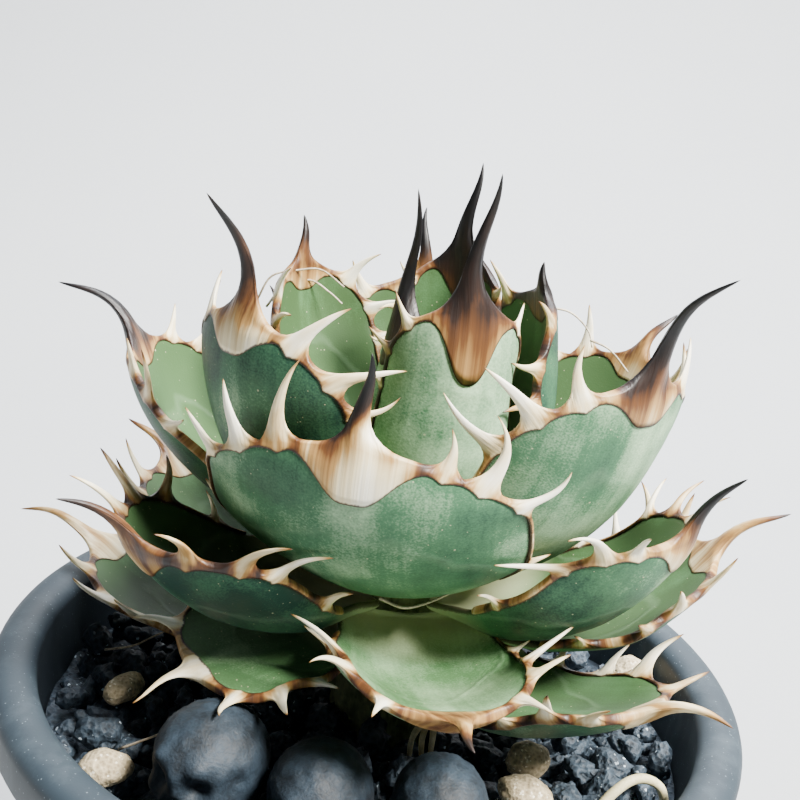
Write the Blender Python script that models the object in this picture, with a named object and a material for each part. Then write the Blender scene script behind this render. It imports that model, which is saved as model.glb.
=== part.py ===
"""Potted agave titanota: a rosette of toothed, fleshy leaves on a short stem, in a pot of lava gravel.

Metres, +Z up. The pot stands on z = 0 with its axis on the world's Z axis.
Azimuths are in degrees round that axis: 0 points along -Y and 90 along +X.
"""

import math
import random
from dataclasses import dataclass
from functools import cached_property

import bmesh
import bpy
from mathutils import Matrix, Vector

CLEARANCE = 0.0003  # between pieces that touch

# The pot
RIM_RADIUS = 0.090
RIM_WIDTH = 0.0105
RIM_ROUNDING = 0.004
RIM_LIP = 0.001
UNDER_RIM_RADIUS = 0.085
RIM_DROP = 0.012
POT_HEIGHT = 0.150
FOOT_RADIUS = 0.062
FOOT_CHAMFER = 0.0015
POT_WALL = 0.0035
POT_FLOOR = 0.004
ROUND_STEPS = 48
DRAIN_HOLES = 6
DRAIN_RADIUS = 0.004
DRAIN_RING = 0.040

# What fills it
MIX_TOP = 0.128
GRAVEL_LEVEL = 0.1335
LAVA_GRAIN = 0.0135
LAVA_RELIEF = 0.0065
LAVA_GRAINS = 150
GRAVEL_INSET = 0.0008
GOLDEN_ANGLE = 137.5

# The stem that carries the leaves
PLANT_X = 0.003
ROOT_BALL_RADIUS = 0.013
ROOT_BALL_ROOM = 0.0004  # round it, in the mix and in the gravel
ROOT_BALL_FOOT = 0.100
STEM_NECK = 0.139
LEAFY_FOOT = 0.157  # the lowest leaf grows just above this height
LEAFY_FOOT_RADIUS = 0.0160
STEM_TOP = 0.187
STEM_TOP_RADIUS = 0.0068
GROWING_TIP = 0.222
STEM_SIDES = 20

# What lies on the gravel: where each thing's middle is, in metres
SOCKET = 0.0005  # room round each of them in the gravel
ROOT_ARCH = (
    (0.0510, -0.0370, 0.1335),
    (0.0560, -0.0335, 0.1410),
    (0.0620, -0.0305, 0.1445),
    (0.0680, -0.0290, 0.1420),
    (0.0710, -0.0285, 0.1335),
)
ROOT_ARCH_RADIUS = 0.0012

# How leaves follow each other up the stem
DIVERGENCE = -138.5
FIRST_AZIMUTH = -64.0
LEAF_STEP = 0.0013

# One leaf
HANDLE = 0.37  # pull of the midrib's ends, as a share of the straight line between them
ROOT_WRAP = 0.8  # half the root's width, as a share of its distance from the stem's axis
ROOT_THICKNESS = 0.0040
ROOT_ROOM = 0.0005  # for the stem's roundness behind the root
MIDDLE_THICKNESS = 0.0050
TIP_THICKNESS = 0.0030
EDGE_THICKNESS = 0.0016
WIDEST = 0.62  # share of the length where the blade is widest
TIP_BLUNTNESS = 3.3
TIP_HALF_WIDTH = 0.0034
EDGE_WAVE = 0.0008
BLADE_COLUMNS = (-1.0, -0.55, 0.0, 0.55, 1.0)

# Its horny margin
TEETH_A_SIDE = 4
FIRST_TOOTH = 0.43  # share of the length, unless the next tooth crowds it
TOOTH_PLACES = (0.0315, 0.0215, 0.0118)  # of the other teeth, along the edge from the blade's tip
TOOTH_BASE = 0.0072
TOOTH_HEIGHTS = (0.0080, 0.0115, 0.0132, 0.0112)
BAND_WIDTH = 0.0014
BAND_THICKNESS = 0.0019

# (height, lean as a share of it) of teeth that the photograph shows well, by leaf, side and place from the root
SHOWN_TEETH = {
    (10, -1, 1): (0.0100, 0.10),
    (10, -1, 2): (0.0125, 0.05),
    (10, -1, 3): (0.0145, 0.50),
    (10, 1, 3): (0.0075, -0.40),
    (10, 1, 2): (0.0130, -0.65),
    (10, 1, 1): (0.0120, -0.30),
    (13, 1, 2): (0.0125, 0.45),
    (13, 1, 1): (0.0125, 0.15),
    (12, -1, 2): (0.0150, -0.45),
    (12, -1, 1): (0.0125, -0.60),
    (15, -1, 1): (0.0110, -0.45),
    (15, -1, 2): (0.0110, 0.60),
    (15, 1, 1): (0.0125, 0.25),
    (15, 1, 2): (0.0070, 0.50),
    (5, 1, 3): (0.0120, 0.35),
    (5, 1, 2): (0.0120, 0.45),
    (7, -1, 2): (0.0130, -0.20),
}

# The same of teeth that would run into a neighbouring leaf
SHORT_TEETH = {
    (1, -1, 1): (0.0045, 0.0),
    (4, -1, 2): (0.0085, 0.0),
    (10, 1, 0): (0.0050, 0.0),
    (14, 1, 0): (0.0060, 0.0),
    (15, -1, 0): (0.0055, 0.0),
    (15, 1, 0): (0.0030, 0.0),
    (18, 1, 0): (0.0035, 0.0),
    (18, 1, 1): (0.0060, 0.0),
    (18, -1, 0): (0.0035, 0.0),
    (20, -1, 0): (0.0050, 0.0),
    (20, -1, 1): (0.0060, 0.0),
}

GREEN = (0.11, 0.24, 0.16, 1.0)
HORN = (0.50, 0.36, 0.24, 1.0)
POT_GREY = (0.07, 0.09, 0.10, 1.0)
MIX_BROWN = (0.06, 0.045, 0.035, 1.0)
LAVA_BLACK = (0.018, 0.022, 0.026, 1.0)
STEM_CREAM = (0.46, 0.47, 0.33, 1.0)
RESIN_BLACK = (0.035, 0.045, 0.055, 1.0)
PUMICE_BEIGE = (0.50, 0.42, 0.30, 1.0)
ROOT_CREAM = (0.70, 0.66, 0.48, 1.0)


@dataclass(frozen=True)
class Skull:
    """A small skull ornament, by half its length and the way it looks."""

    place: tuple
    size: float
    facing: float  # azimuth of its face, in degrees
    nod: float  # how far it looks down, in degrees

    def surface(self, way):
        """The surface point in a unit direction, with the face along +Y and the crown along +Z."""
        narrow = 1.0 - 0.22 * max(0.0, way.y) * max(0.0, 0.35 - way.z)
        round_head = ((way.x / (0.86 * narrow)) ** 2 + way.y**2 + (way.z / 0.88) ** 2) ** -0.5
        for spot, reach, rise in SKULL_FEATURES:
            mirrored = Vector((abs(way.x), way.y, way.z))
            off = (mirrored - Vector(spot).normalized()).length / reach
            round_head += rise * math.exp(-off * off)
        return way * round_head * self.size


# (direction, spread, rise) of each feature of a skull's surface, as shares of half its length
SKULL_FEATURES = (
    ((0.36, 0.90, -0.12), 0.20, -0.27),  # eye sockets
    ((0.30, 0.90, 0.20), 0.17, 0.05),  # brows
    ((0.00, 0.92, -0.42), 0.13, -0.16),  # nose
    ((0.58, 0.72, -0.40), 0.17, 0.07),  # cheekbones
    ((0.90, 0.42, -0.05), 0.25, -0.06),  # temples
    ((0.00, 0.78, -0.66), 0.30, 0.12),  # teeth
    ((0.38, 0.40, -0.85), 0.26, 0.08),  # jaw
)

SKULLS = (
    Skull((-0.0308, -0.0475, 0.1463), 0.0139, -25.0, -8.0),
    Skull((-0.0070, -0.0530, 0.1453), 0.0129, -6.0, -6.0),
    Skull((0.0180, -0.0500, 0.1445), 0.0118, 14.0, 0.0),
)

# (middle, half length, half width, half height, turn in degrees) of each pale pebble
PEBBLES = (
    ((0.0385, -0.0240, 0.1410), 0.0052, 0.0045, 0.0042, 30.0),
    ((0.0370, -0.0365, 0.1405), 0.0060, 0.0046, 0.0040, -20.0),
    ((0.0685, 0.0225, 0.1410), 0.0055, 0.0048, 0.0040, 70.0),
    ((-0.0570, -0.0180, 0.1410), 0.0058, 0.0032, 0.0034, 60.0),
    ((-0.0530, -0.0470, 0.1400), 0.0056, 0.0044, 0.0038, 15.0),
)


@dataclass(frozen=True)
class Leaf:
    """One leaf, by its place in the spiral and where the tip of its blade ends up."""

    order: int  # 0 is the youngest
    turn: float  # degrees off its place in the spiral
    reach: float  # blade tip, out from the plant's axis
    height: float  # blade tip, above the pot's foot
    start: float  # elevation of the midrib where it leaves the stem, in degrees
    end: float  # and at the blade's tip
    half_width: float
    fold: float  # degrees that each half turns up at the widest place
    spine: float  # length of the terminal spine
    spine_rise: float  # elevation of its needle, in degrees
    tooth_size: float = 1.0
    hook: float = 0.25  # how far teeth lean towards the inner face
    roll: float = 0.0  # degrees that the tip is rolled about the midrib, lifting the side at +Y

    @property
    def azimuth(self):
        return FIRST_AZIMUTH + DIVERGENCE * self.order + self.turn

    @cached_property
    def root(self):
        """(distance from the plant's axis, height) where the midrib leaves the stem."""
        height = STEM_TOP - LEAF_STEP * self.order
        stem_slope = math.atan2(LEAFY_FOOT_RADIUS - STEM_TOP_RADIUS, STEM_TOP - LEAFY_FOOT)
        lean = abs(math.sin(math.radians(self.start) - stem_slope))
        return stem_radius(height) + CLEARANCE + 0.5 * ROOT_THICKNESS * lean + ROOT_ROOM, height

    @cached_property
    def handles(self):
        """The four points of the midrib's Bezier curve, from the root, as (out, up) vectors."""
        out, height = self.root
        tip = Vector((self.reach - out, self.height - height))
        pull = HANDLE * tip.length
        start, end = math.radians(self.start), math.radians(self.end)
        first = pull * Vector((math.cos(start), math.sin(start)))
        return Vector((0.0, 0.0)), first, tip - pull * Vector((math.cos(end), math.sin(end))), tip

    def midrib(self, t):
        """The midrib's Bezier curve."""
        a, b, c, d = self.handles
        u = 1.0 - t
        return u**3 * a + 3 * u * u * t * b + 3 * u * t * t * c + t**3 * d

    def rib(self, share):
        """(point, direction) of the midrib at a share of its length; it goes straight on past the tip."""
        a, b, c, d = self.handles
        t = min(share, 1.0)
        u = 1.0 - t
        ahead = (u * u * (b - a) + 2 * u * t * (c - b) + t * t * (d - c)).normalized()
        return self.midrib(t) + ahead * self.length * max(share - 1.0, 0.0), ahead

    @cached_property
    def length(self):
        points = [self.midrib(i / 32) for i in range(33)]
        return sum((there - here).length for here, there in zip(points, points[1:]))

    def width_at(self, share):
        """Half the blade's width at a share of its length."""
        root = min(ROOT_WRAP * self.root[0], 0.75 * self.half_width)
        if share <= WIDEST:
            rise = math.sin(0.5 * math.pi * max(share, 0.0) / WIDEST)
            return root + (self.half_width - root) * rise
        past = min((share - WIDEST) / (1.0 - WIDEST), 1.0)
        fall = (1.0 - past**TIP_BLUNTNESS) ** 0.66
        return TIP_HALF_WIDTH + (self.half_width - TIP_HALF_WIDTH) * fall

    def thickness_at(self, share, side):
        """Thickness at a share of the length and at side, from -1 to 1 across the blade."""
        middle = ROOT_THICKNESS + (MIDDLE_THICKNESS - ROOT_THICKNESS) * math.sin(math.pi * share)
        if share > WIDEST:
            past = (share - WIDEST) / (1.0 - WIDEST)
            middle += (TIP_THICKNESS - middle) * past
        return EDGE_THICKNESS + (middle - EDGE_THICKNESS) * (1.0 - abs(side) ** 1.6)

    def place(self, along, across, lift):
        """The point along the midrib and across it, lifted from the mid-surface towards the inner face."""
        share = along / self.length
        rib, ahead = self.rib(share)
        inward = Vector((-ahead.y, 0.0, ahead.x))
        channel = self.half_width / math.radians(self.fold)
        turned = across / channel
        lift += EDGE_WAVE * (across / self.half_width) ** 2 * math.sin(13.0 * share + 2.4 * self.order)
        aside = (channel - lift) * math.sin(turned)
        rise = channel * (1.0 - math.cos(turned)) + lift * math.cos(turned)
        roll = math.radians(self.roll) * min(share, 1.0)
        rolled = Matrix.Rotation(roll, 2) @ Vector((aside, rise))
        return Vector((rib.x, rolled.x, rib.y)) + inward * rolled.y

    def share_from_tip(self, distance):
        """The share of the length at a distance along the edge from the blade's tip."""
        step = 0.001
        share, done = 1.0, 0.0
        while done < distance:
            done += math.hypot(self.width_at(share - step) - self.width_at(share), step * self.length)
            share -= step
        return share

    def tooth_shares(self, side):
        """The two ends of each tooth's base, and of the blade, as shares of the length along one edge."""
        jitter = random.Random(10 * self.order + (side > 0))
        base = TOOTH_BASE * self.tooth_size
        stations = []
        for place in TOOTH_PLACES:
            middle = place * (0.55 + 0.45 * self.tooth_size) + jitter.uniform(-1.0, 1.0) * 0.0011
            stations += [self.share_from_tip(middle + 0.5 * base), self.share_from_tip(middle - 0.5 * base)]
        first = min(FIRST_TOOTH + 0.5 * base / self.length, stations[0] - 0.0022 / self.length)
        return [0.0, first - base / self.length, first, *stations, 1.0]


# Blade tips are read off the photograph; the far side repeats the near side's sizes.
LEAVES = (
    Leaf(0, 0.0, 0.008, 0.236, 78.0, 92.0, 0.0100, 80.0, 0.028, 86.0, 0.5),
    Leaf(1, 0.0, 0.0145, 0.247, 59.0, 97.0, 0.0158, 62.0, 0.022, 80.0, 0.6),
    Leaf(2, 0.0, 0.023, 0.243, 52.0, 94.0, 0.0180, 62.0, 0.029, 76.0, 0.6),
    Leaf(3, -6.0, 0.041, 0.238, 41.0, 92.0, 0.0198, 56.0, 0.011, 75.0, 0.9),
    Leaf(4, 6.5, 0.0255, 0.242, 30.0, 103.0, 0.0208, 49.0, 0.006, 90.0, 0.8),
    Leaf(5, -7.5, 0.0535, 0.2395, 18.0, 97.0, 0.0262, 48.0, 0.027, 44.0, 0.9),
    Leaf(6, 0.0, 0.052, 0.232, 17.0, 92.0, 0.0240, 47.0, 0.020, 60.0, 0.9),
    Leaf(7, 0.0, 0.058, 0.237, 17.0, 88.0, 0.0285, 46.0, 0.030, 38.0, 1.0, 0.25, -5.0),
    Leaf(8, 0.0, 0.0675, 0.219, 18.0, 71.0, 0.0258, 43.0, 0.024, 2.0, 0.9, 0.0),
    Leaf(9, -4.0, 0.067, 0.222, 4.0, 71.0, 0.0270, 44.0, 0.016, 30.0, 1.0, 0.2),
    Leaf(10, -2.0, 0.057, 0.222, 24.0, 96.0, 0.0350, 34.0, 0.018, 80.0, 0.95, 0.1, 3.0),
    Leaf(11, 0.0, 0.074, 0.205, 0.0, 60.0, 0.0266, 40.0, 0.022, 30.0, 1.0, 0.1),
    Leaf(12, -12.0, 0.0655, 0.2035, -17.0, 73.0, 0.0268, 54.0, 0.018, 48.0, 0.8, -0.65, -5.0),
    Leaf(13, 13.0, 0.069, 0.191, -17.0, 56.0, 0.0282, 57.0, 0.020, 18.0, 1.0, -0.45, 6.0),
    Leaf(14, 3.0, 0.077, 0.188, -15.0, 61.0, 0.0272, 37.0, 0.020, 20.0),
    Leaf(15, -7.0, 0.066, 0.174, -29.0, 28.0, 0.0222, 50.0, 0.019, 10.0, 0.75, -0.4),
    Leaf(16, 0.0, 0.074, 0.177, -15.0, 40.0, 0.0255, 35.0, 0.018, 10.0),
    Leaf(17, -11.0, 0.073, 0.187, -16.5, 61.0, 0.0248, 33.0, 0.021, 22.0, 1.0, 0.1),
    Leaf(18, -12.5, 0.054, 0.1590, -25.0, -2.0, 0.0188, 21.0, 0.014, -30.0, 0.8, 0.05, -5.5),
    Leaf(19, 0.0, 0.074, 0.159, -52.0, 36.0, 0.0250, 35.0, 0.020, 5.0),
    Leaf(20, 8.0, 0.069, 0.168, -68.0, 43.0, 0.0202, 27.0, 0.018, -10.0, 1.0, 0.0, -9.0),
    Leaf(21, -13.0, 0.080, 0.157, -85.0, 36.0, 0.0212, 28.0, 0.028, -14.0),
)


def stem_radius(height):
    """The stem's radius at a height above the pot's foot."""
    share = (height - LEAFY_FOOT) / (STEM_TOP - LEAFY_FOOT)
    return LEAFY_FOOT_RADIUS + (STEM_TOP_RADIUS - LEAFY_FOOT_RADIUS) * share


def clear_scene():
    for item in list(bpy.data.objects):
        bpy.data.objects.remove(item)


def material(name, colour, roughness):
    finish = bpy.data.materials.new(name)
    finish.use_nodes = True
    surface = finish.node_tree.nodes["Principled BSDF"]
    surface.inputs["Base Color"].default_value = colour
    surface.inputs["Roughness"].default_value = roughness
    return finish


def add_node(name, bm, finish, parent=None, smooth_below=40.0):
    """Makes an object of a closed mesh, with its faces pointing out."""
    bmesh.ops.recalc_face_normals(bm, faces=bm.faces)
    mesh = bpy.data.meshes.new(name)
    bm.to_mesh(mesh)
    bm.free()
    mesh.materials.append(finish)
    mesh.shade_smooth()
    mesh.set_sharp_from_angle(angle=math.radians(smooth_below))
    node = bpy.data.objects.new(name, mesh)
    bpy.context.scene.collection.objects.link(node)
    node.parent = parent
    return node


def turned(profile, segments):
    """A solid of revolution about Z from (radius, height) points that start and end on the axis."""
    bm = bmesh.new()
    points = [bm.verts.new((radius, 0.0, height)) for radius, height in profile]
    edges = [bm.edges.new(pair) for pair in zip(points, points[1:])]
    bmesh.ops.spin(
        bm, geom=points + edges, cent=(0, 0, 0), axis=(0, 0, 1), angle=2 * math.pi, steps=segments,
        use_merge=True,
    )
    bmesh.ops.remove_doubles(bm, verts=bm.verts, dist=1e-6)
    return bm


def cut(node, cutter):
    """Takes the cutter's shape out of a node, and leaves the cutter as a hidden helper."""
    cutter.hide_render = True
    cutter.display_type = "WIRE"
    boolean = node.modifiers.new("cut_by_" + cutter.name, "BOOLEAN")
    boolean.operation = "DIFFERENCE"
    boolean.object = cutter


def pot_wall_radius(height):
    """The pot's outer radius below its rim."""
    return FOOT_RADIUS + (UNDER_RIM_RADIUS - FOOT_RADIUS) * height / POT_HEIGHT


def make_pot(finish):
    """A plain tapered pot with a rounded rim and a ring of drain holes."""
    inner = RIM_RADIUS - RIM_WIDTH
    rim_side = RIM_RADIUS - 0.5 * RIM_WIDTH
    rim_foot = POT_HEIGHT - RIM_DROP
    profile = [(0.0, 0.0), (FOOT_RADIUS - FOOT_CHAMFER, 0.0), (FOOT_RADIUS, FOOT_CHAMFER)]
    profile.append((pot_wall_radius(rim_foot), rim_foot))
    profile.append((RIM_RADIUS - RIM_LIP, rim_foot))
    profile.append((RIM_RADIUS, rim_foot + RIM_LIP))
    for i in range(5):
        angle = math.pi * i / 4
        fall = RIM_ROUNDING * (1 - math.sin(angle))
        profile.append((rim_side + 0.5 * RIM_WIDTH * math.cos(angle), POT_HEIGHT - fall))
    profile.append((inner, rim_foot))
    profile.append((FOOT_RADIUS - POT_WALL, POT_FLOOR))
    profile.append((0.0, POT_FLOOR))
    pot = add_node("pot", turned(profile, ROUND_STEPS), finish)
    for i in range(DRAIN_HOLES):
        turn = Matrix.Rotation(2 * math.pi * i / DRAIN_HOLES, 4, "Z")
        bm = bmesh.new()
        bmesh.ops.create_cone(
            bm, cap_ends=True, segments=10, radius1=DRAIN_RADIUS, radius2=DRAIN_RADIUS, depth=4 * POT_FLOOR,
            matrix=turn @ Matrix.Translation((DRAIN_RING, 0, 0.5 * POT_FLOOR)),
        )
        cut(pot, add_node(f"drain_hole_{i}", bm, finish))


def fill_radius(height):
    """The radius of what fills the pot, clear of the wall's inside."""
    share = (height - POT_FLOOR) / (POT_HEIGHT - RIM_DROP - POT_FLOOR)
    foot = FOOT_RADIUS - POT_WALL
    wall = foot + (RIM_RADIUS - RIM_WIDTH - foot) * min(share, 1.0)
    return wall - 2 * CLEARANCE


def make_mix(finish):
    """The potting mix, with a plain hole for the stem's foot."""
    low = POT_FLOOR + CLEARANCE
    profile = [(0, low), (fill_radius(low), low), (fill_radius(MIX_TOP), MIX_TOP), (0, MIX_TOP)]
    mix = add_node("potting_mix", turned(profile, ROUND_STEPS), finish)
    bm = bmesh.new()
    depth = 0.05
    radius = ROOT_BALL_RADIUS + ROOT_BALL_ROOM
    bmesh.ops.create_cone(
        bm, cap_ends=True, segments=STEM_SIDES, radius1=radius, radius2=radius, depth=depth,
        matrix=Matrix.Translation((PLANT_X, 0, ROOT_BALL_FOOT - CLEARANCE + 0.5 * depth)),
    )
    cut(mix, add_node("stem_hole", bm, finish))


def lava_grains():
    """(centre, radius, share of the full relief) of each lava grain, spread evenly over the pot's mouth."""
    jitter = random.Random(7)
    grains = []
    for i in range(LAVA_GRAINS):
        radius = RIM_RADIUS * math.sqrt((i + 0.5) / LAVA_GRAINS)
        angle = math.radians(GOLDEN_ANGLE * i)
        centre = Vector((radius * math.cos(angle), radius * math.sin(angle)))
        centre += Vector((jitter.uniform(-1, 1), jitter.uniform(-1, 1))) * 0.2 * LAVA_GRAIN
        grains.append((centre, LAVA_GRAIN * jitter.uniform(0.42, 0.66), jitter.uniform(0.55, 1.0)))
    return grains


def make_gravel(finish):
    """The lava top dressing: a bed whose upper face is raised in grains by a formula."""
    rings, spokes = 12, 54
    grains = lava_grains()
    low = MIX_TOP + CLEARANCE
    inner = ROOT_BALL_RADIUS + ROOT_BALL_ROOM
    outer = fill_radius(GRAVEL_LEVEL) - GRAVEL_INSET
    bm = bmesh.new()
    loops = []
    for i in range(rings + 1):
        share = i / rings
        radius = inner + (outer - inner) * share
        loop = []
        for j in range(spokes):
            angle = 2 * math.pi * (j + 0.5 * (i % 2)) / spokes
            spot = Vector((PLANT_X * (1 - share) + radius * math.cos(angle), radius * math.sin(angle)))
            relief = 0.0
            for centre, size, rise in grains:
                off = (spot - centre).length / size
                if off < 1:
                    relief = max(relief, rise * math.sqrt(1 - off * off))
            height = GRAVEL_LEVEL + LAVA_RELIEF * relief * min(1.0, 3.0 * share)
            loop.append(bm.verts.new((spot.x, spot.y, height)))
        loops.append(loop)
    for above in (loops[0], loops[-1]):
        loops.append([bm.verts.new((corner.co.x, corner.co.y, low)) for corner in above])
    top, hole, rim = loops[: rings + 1], loops[rings + 1], loops[rings + 2]
    walls = [hole] + top + [rim, hole]
    for lower, upper in zip(walls, walls[1:]):
        for j in range(spokes):
            k = (j + 1) % spokes
            bm.faces.new((lower[j], lower[k], upper[k], upper[j]))
    return add_node("lava_gravel", bm, finish)


def lumpy_ball(place, half_sizes, turn, roughness, grow_by, subdivisions, seed):
    """A pebble-like ball, its surface pushed in and out by a formula."""
    jitter = random.Random(seed)
    waves = [(Vector([jitter.uniform(-3, 3) for _ in range(3)]), jitter.uniform(0, 6)) for _ in range(4)]
    bm = bmesh.new()
    bmesh.ops.create_icosphere(bm, subdivisions=subdivisions, radius=1.0)
    for corner in bm.verts:
        way = corner.co.copy()
        swell = 1.0 + roughness * sum(math.sin(wave.dot(way) + phase) for wave, phase in waves) / 4
        corner.co = Vector([way[i] * (half_sizes[i] * swell + grow_by) for i in range(3)])
    bm.transform(Matrix.Translation(place) @ Matrix.Rotation(math.radians(turn), 4, "Z"))
    return bm


def make_skull(number, skull, finish, gravel):
    """A skull ornament, and its socket in the gravel."""
    stand = (
        Matrix.Translation(skull.place)
        @ Matrix.Rotation(math.radians(skull.facing + 180.0), 4, "Z")
        @ Matrix.Rotation(math.radians(-skull.nod), 4, "X")
    )
    bm = bmesh.new()
    bmesh.ops.create_icosphere(bm, subdivisions=3, radius=1.0)
    face = [edge for edge in bm.edges if min(corner.co.y for corner in edge.verts) > 0.35]
    bmesh.ops.subdivide_edges(bm, edges=face, cuts=1, use_grid_fill=True)
    bmesh.ops.triangulate(bm, faces=bm.faces)
    for corner in bm.verts:
        corner.co = skull.surface(corner.co.normalized())
    bm.transform(stand)
    add_node(f"skull_ornament_{number}", bm, finish)
    room = SOCKET / skull.size
    bm = bmesh.new()
    bmesh.ops.create_icosphere(bm, subdivisions=2, radius=1.0)
    outline = Matrix.Diagonal((0.94 + room, 1.12 + room, 1.08 + room, 1.0))
    bm.transform(stand @ outline @ Matrix.Scale(skull.size, 4))
    cut(gravel, add_node(f"skull_socket_{number}", bm, finish))


def make_pebble(number, pebble, finish, gravel):
    """A pale pebble, and its socket in the gravel."""
    place, *half_sizes, turn = pebble
    add_node(f"pale_pebble_{number}", lumpy_ball(place, half_sizes, turn, 0.16, 0.0, 2, number), finish)
    socket = lumpy_ball(place, half_sizes, turn, 0.16, SOCKET, 2, number)
    cut(gravel, add_node(f"pebble_socket_{number}", socket, finish))


def tube(points, radius, sides):
    """A closed tube along a line of points."""
    bm = bmesh.new()
    points = [Vector(point) for point in points]
    loops = []
    for i, point in enumerate(points):
        ahead = (points[min(i + 1, len(points) - 1)] - points[max(i - 1, 0)]).normalized()
        across = ahead.cross(Vector((0, 1, 0.2))).normalized()
        other = ahead.cross(across)
        ring = []
        for j in range(sides):
            angle = 2 * math.pi * j / sides
            ring.append(bm.verts.new(point + radius * (math.cos(angle) * across + math.sin(angle) * other)))
        loops.append(ring)
    for lower, upper in zip(loops, loops[1:]):
        for j in range(sides):
            k = (j + 1) % sides
            bm.faces.new((lower[j], lower[k], upper[k], upper[j]))
    bm.faces.new(loops[0])
    bm.faces.new(loops[-1])
    return bm


def make_root_arch(finish, gravel):
    """The bent dry root, with both ends in the gravel."""
    add_node("dry_root", tube(ROOT_ARCH, ROOT_ARCH_RADIUS, 8), finish)
    deeper = Vector((0.0, 0.0, SOCKET))
    longer = [Vector(ROOT_ARCH[0]) - deeper, *ROOT_ARCH[1:-1], Vector(ROOT_ARCH[-1]) - deeper]
    cut(gravel, add_node("dry_root_socket", tube(longer, ROOT_ARCH_RADIUS + SOCKET, 8), finish))


def make_stem(finish):
    """The squat stem, from its foot in the mix to the growing tip."""
    profile = [
        (0.0, ROOT_BALL_FOOT),
        (ROOT_BALL_RADIUS, ROOT_BALL_FOOT),
        (ROOT_BALL_RADIUS, STEM_NECK),
        (LEAFY_FOOT_RADIUS, LEAFY_FOOT),
        (STEM_TOP_RADIUS, STEM_TOP),
        (0.6 * STEM_TOP_RADIUS, STEM_TOP + 0.012),
        (0.0, GROWING_TIP),
    ]
    stem = add_node("stem", turned(profile, STEM_SIDES), finish)
    stem.location = (PLANT_X, 0, 0)


def make_blade(leaf, finish, parent):
    """The green blade: an inner and an outer face of the same triangles, joined round the edge."""
    left, right = leaf.tooth_shares(-1), leaf.tooth_shares(1)
    bm = bmesh.new()
    inner, outer = [], []
    for start, end in zip(left, right):
        inner.append([])
        outer.append([])
        for column in BLADE_COLUMNS:
            share = start + (end - start) * 0.5 * (column + 1.0)
            across = leaf.width_at(share) * column
            flesh = leaf.thickness_at(share, column) - EDGE_THICKNESS
            along = share * leaf.length
            inner[-1].append(bm.verts.new(leaf.place(along, across, 0.5 * EDGE_THICKNESS + 0.25 * flesh)))
            outer[-1].append(bm.verts.new(leaf.place(along, across, -0.5 * EDGE_THICKNESS - 0.75 * flesh)))
    last = len(BLADE_COLUMNS) - 1
    for i in range(len(left) - 1):
        for j in range(last):
            for face in (inner, outer):
                a, b, c, d = face[i][j], face[i + 1][j], face[i + 1][j + 1], face[i][j + 1]
                if j < last / 2:
                    bm.faces.new((a, b, c))
                    bm.faces.new((a, c, d))
                else:
                    bm.faces.new((a, b, d))
                    bm.faces.new((b, c, d))
        for j in (0, last):
            bm.faces.new((inner[i][j], inner[i + 1][j], outer[i + 1][j], outer[i][j]))
    for i in (0, len(left) - 1):
        for j in range(last):
            bm.faces.new((inner[i][j], inner[i][j + 1], outer[i][j + 1], outer[i][j]))
    return add_node(f"leaf_{leaf.order:02d}", bm, finish, parent)


def margin_line(leaf):
    """The blade's outline as (along, across, outward direction), from one side round the tip to the other."""
    step = 0.01
    sides = []
    for side in (-1, 1):
        line = []
        for share in leaf.tooth_shares(side)[1:]:
            slope = (leaf.width_at(share) - leaf.width_at(share - step)) / (step * leaf.length)
            outward = Vector((-slope, side)).normalized()
            if share == 1.0:
                outward = (outward + Vector((1.0, 0.0))).normalized() * 1.15
            line.append((share * leaf.length, side * leaf.width_at(share), outward))
        sides.append(line)
    return sides[0] + sides[1][::-1]


def grow(bm, face, steps, tip):
    """Draws a face out through (centre, long axis, share kept, thin axis, share kept) steps to a point."""
    for centre, long_axis, keep_long, thin_axis, keep_thin in steps:
        face = bmesh.ops.extrude_discrete_faces(bm, faces=[face])["faces"][0]
        middle = face.calc_center_median()
        for corner in face.verts:
            off = corner.co - middle
            long_part = long_axis * off.dot(long_axis) * keep_long
            corner.co = centre + long_part + thin_axis * off.dot(thin_axis) * keep_thin
    face = bmesh.ops.extrude_discrete_faces(bm, faces=[face])["faces"][0]
    bmesh.ops.pointmerge(bm, verts=list(face.verts), merge_co=tip)


def make_band(bm, leaf, line):
    """A four-sided bar along the blade's outline. Gives back its outside faces, in the line's order."""
    half = 0.5 * BAND_THICKNESS
    near, far = CLEARANCE, CLEARANCE + BAND_WIDTH
    rings = []
    for along, across, outward in line:
        rings.append([
            bm.verts.new(leaf.place(along + outward.x * offset, across + outward.y * offset, lift))
            for offset, lift in ((near, -half), (far, -half), (far, half), (near, half))
        ])
    outside = []
    for first, second in zip(rings, rings[1:]):
        bm.faces.new((first[0], first[1], second[1]))
        bm.faces.new((first[0], second[1], second[0]))
        bm.faces.new((first[3], first[2], second[2]))
        bm.faces.new((first[3], second[2], second[3]))
        bm.faces.new((first[3], first[0], second[0], second[3]))
        outside.append(bm.faces.new((first[1], first[2], second[2], second[1])))
    bm.faces.new(rings[0])
    bm.faces.new(rings[-1])
    bmesh.ops.recalc_face_normals(bm, faces=bm.faces)
    return outside


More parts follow.
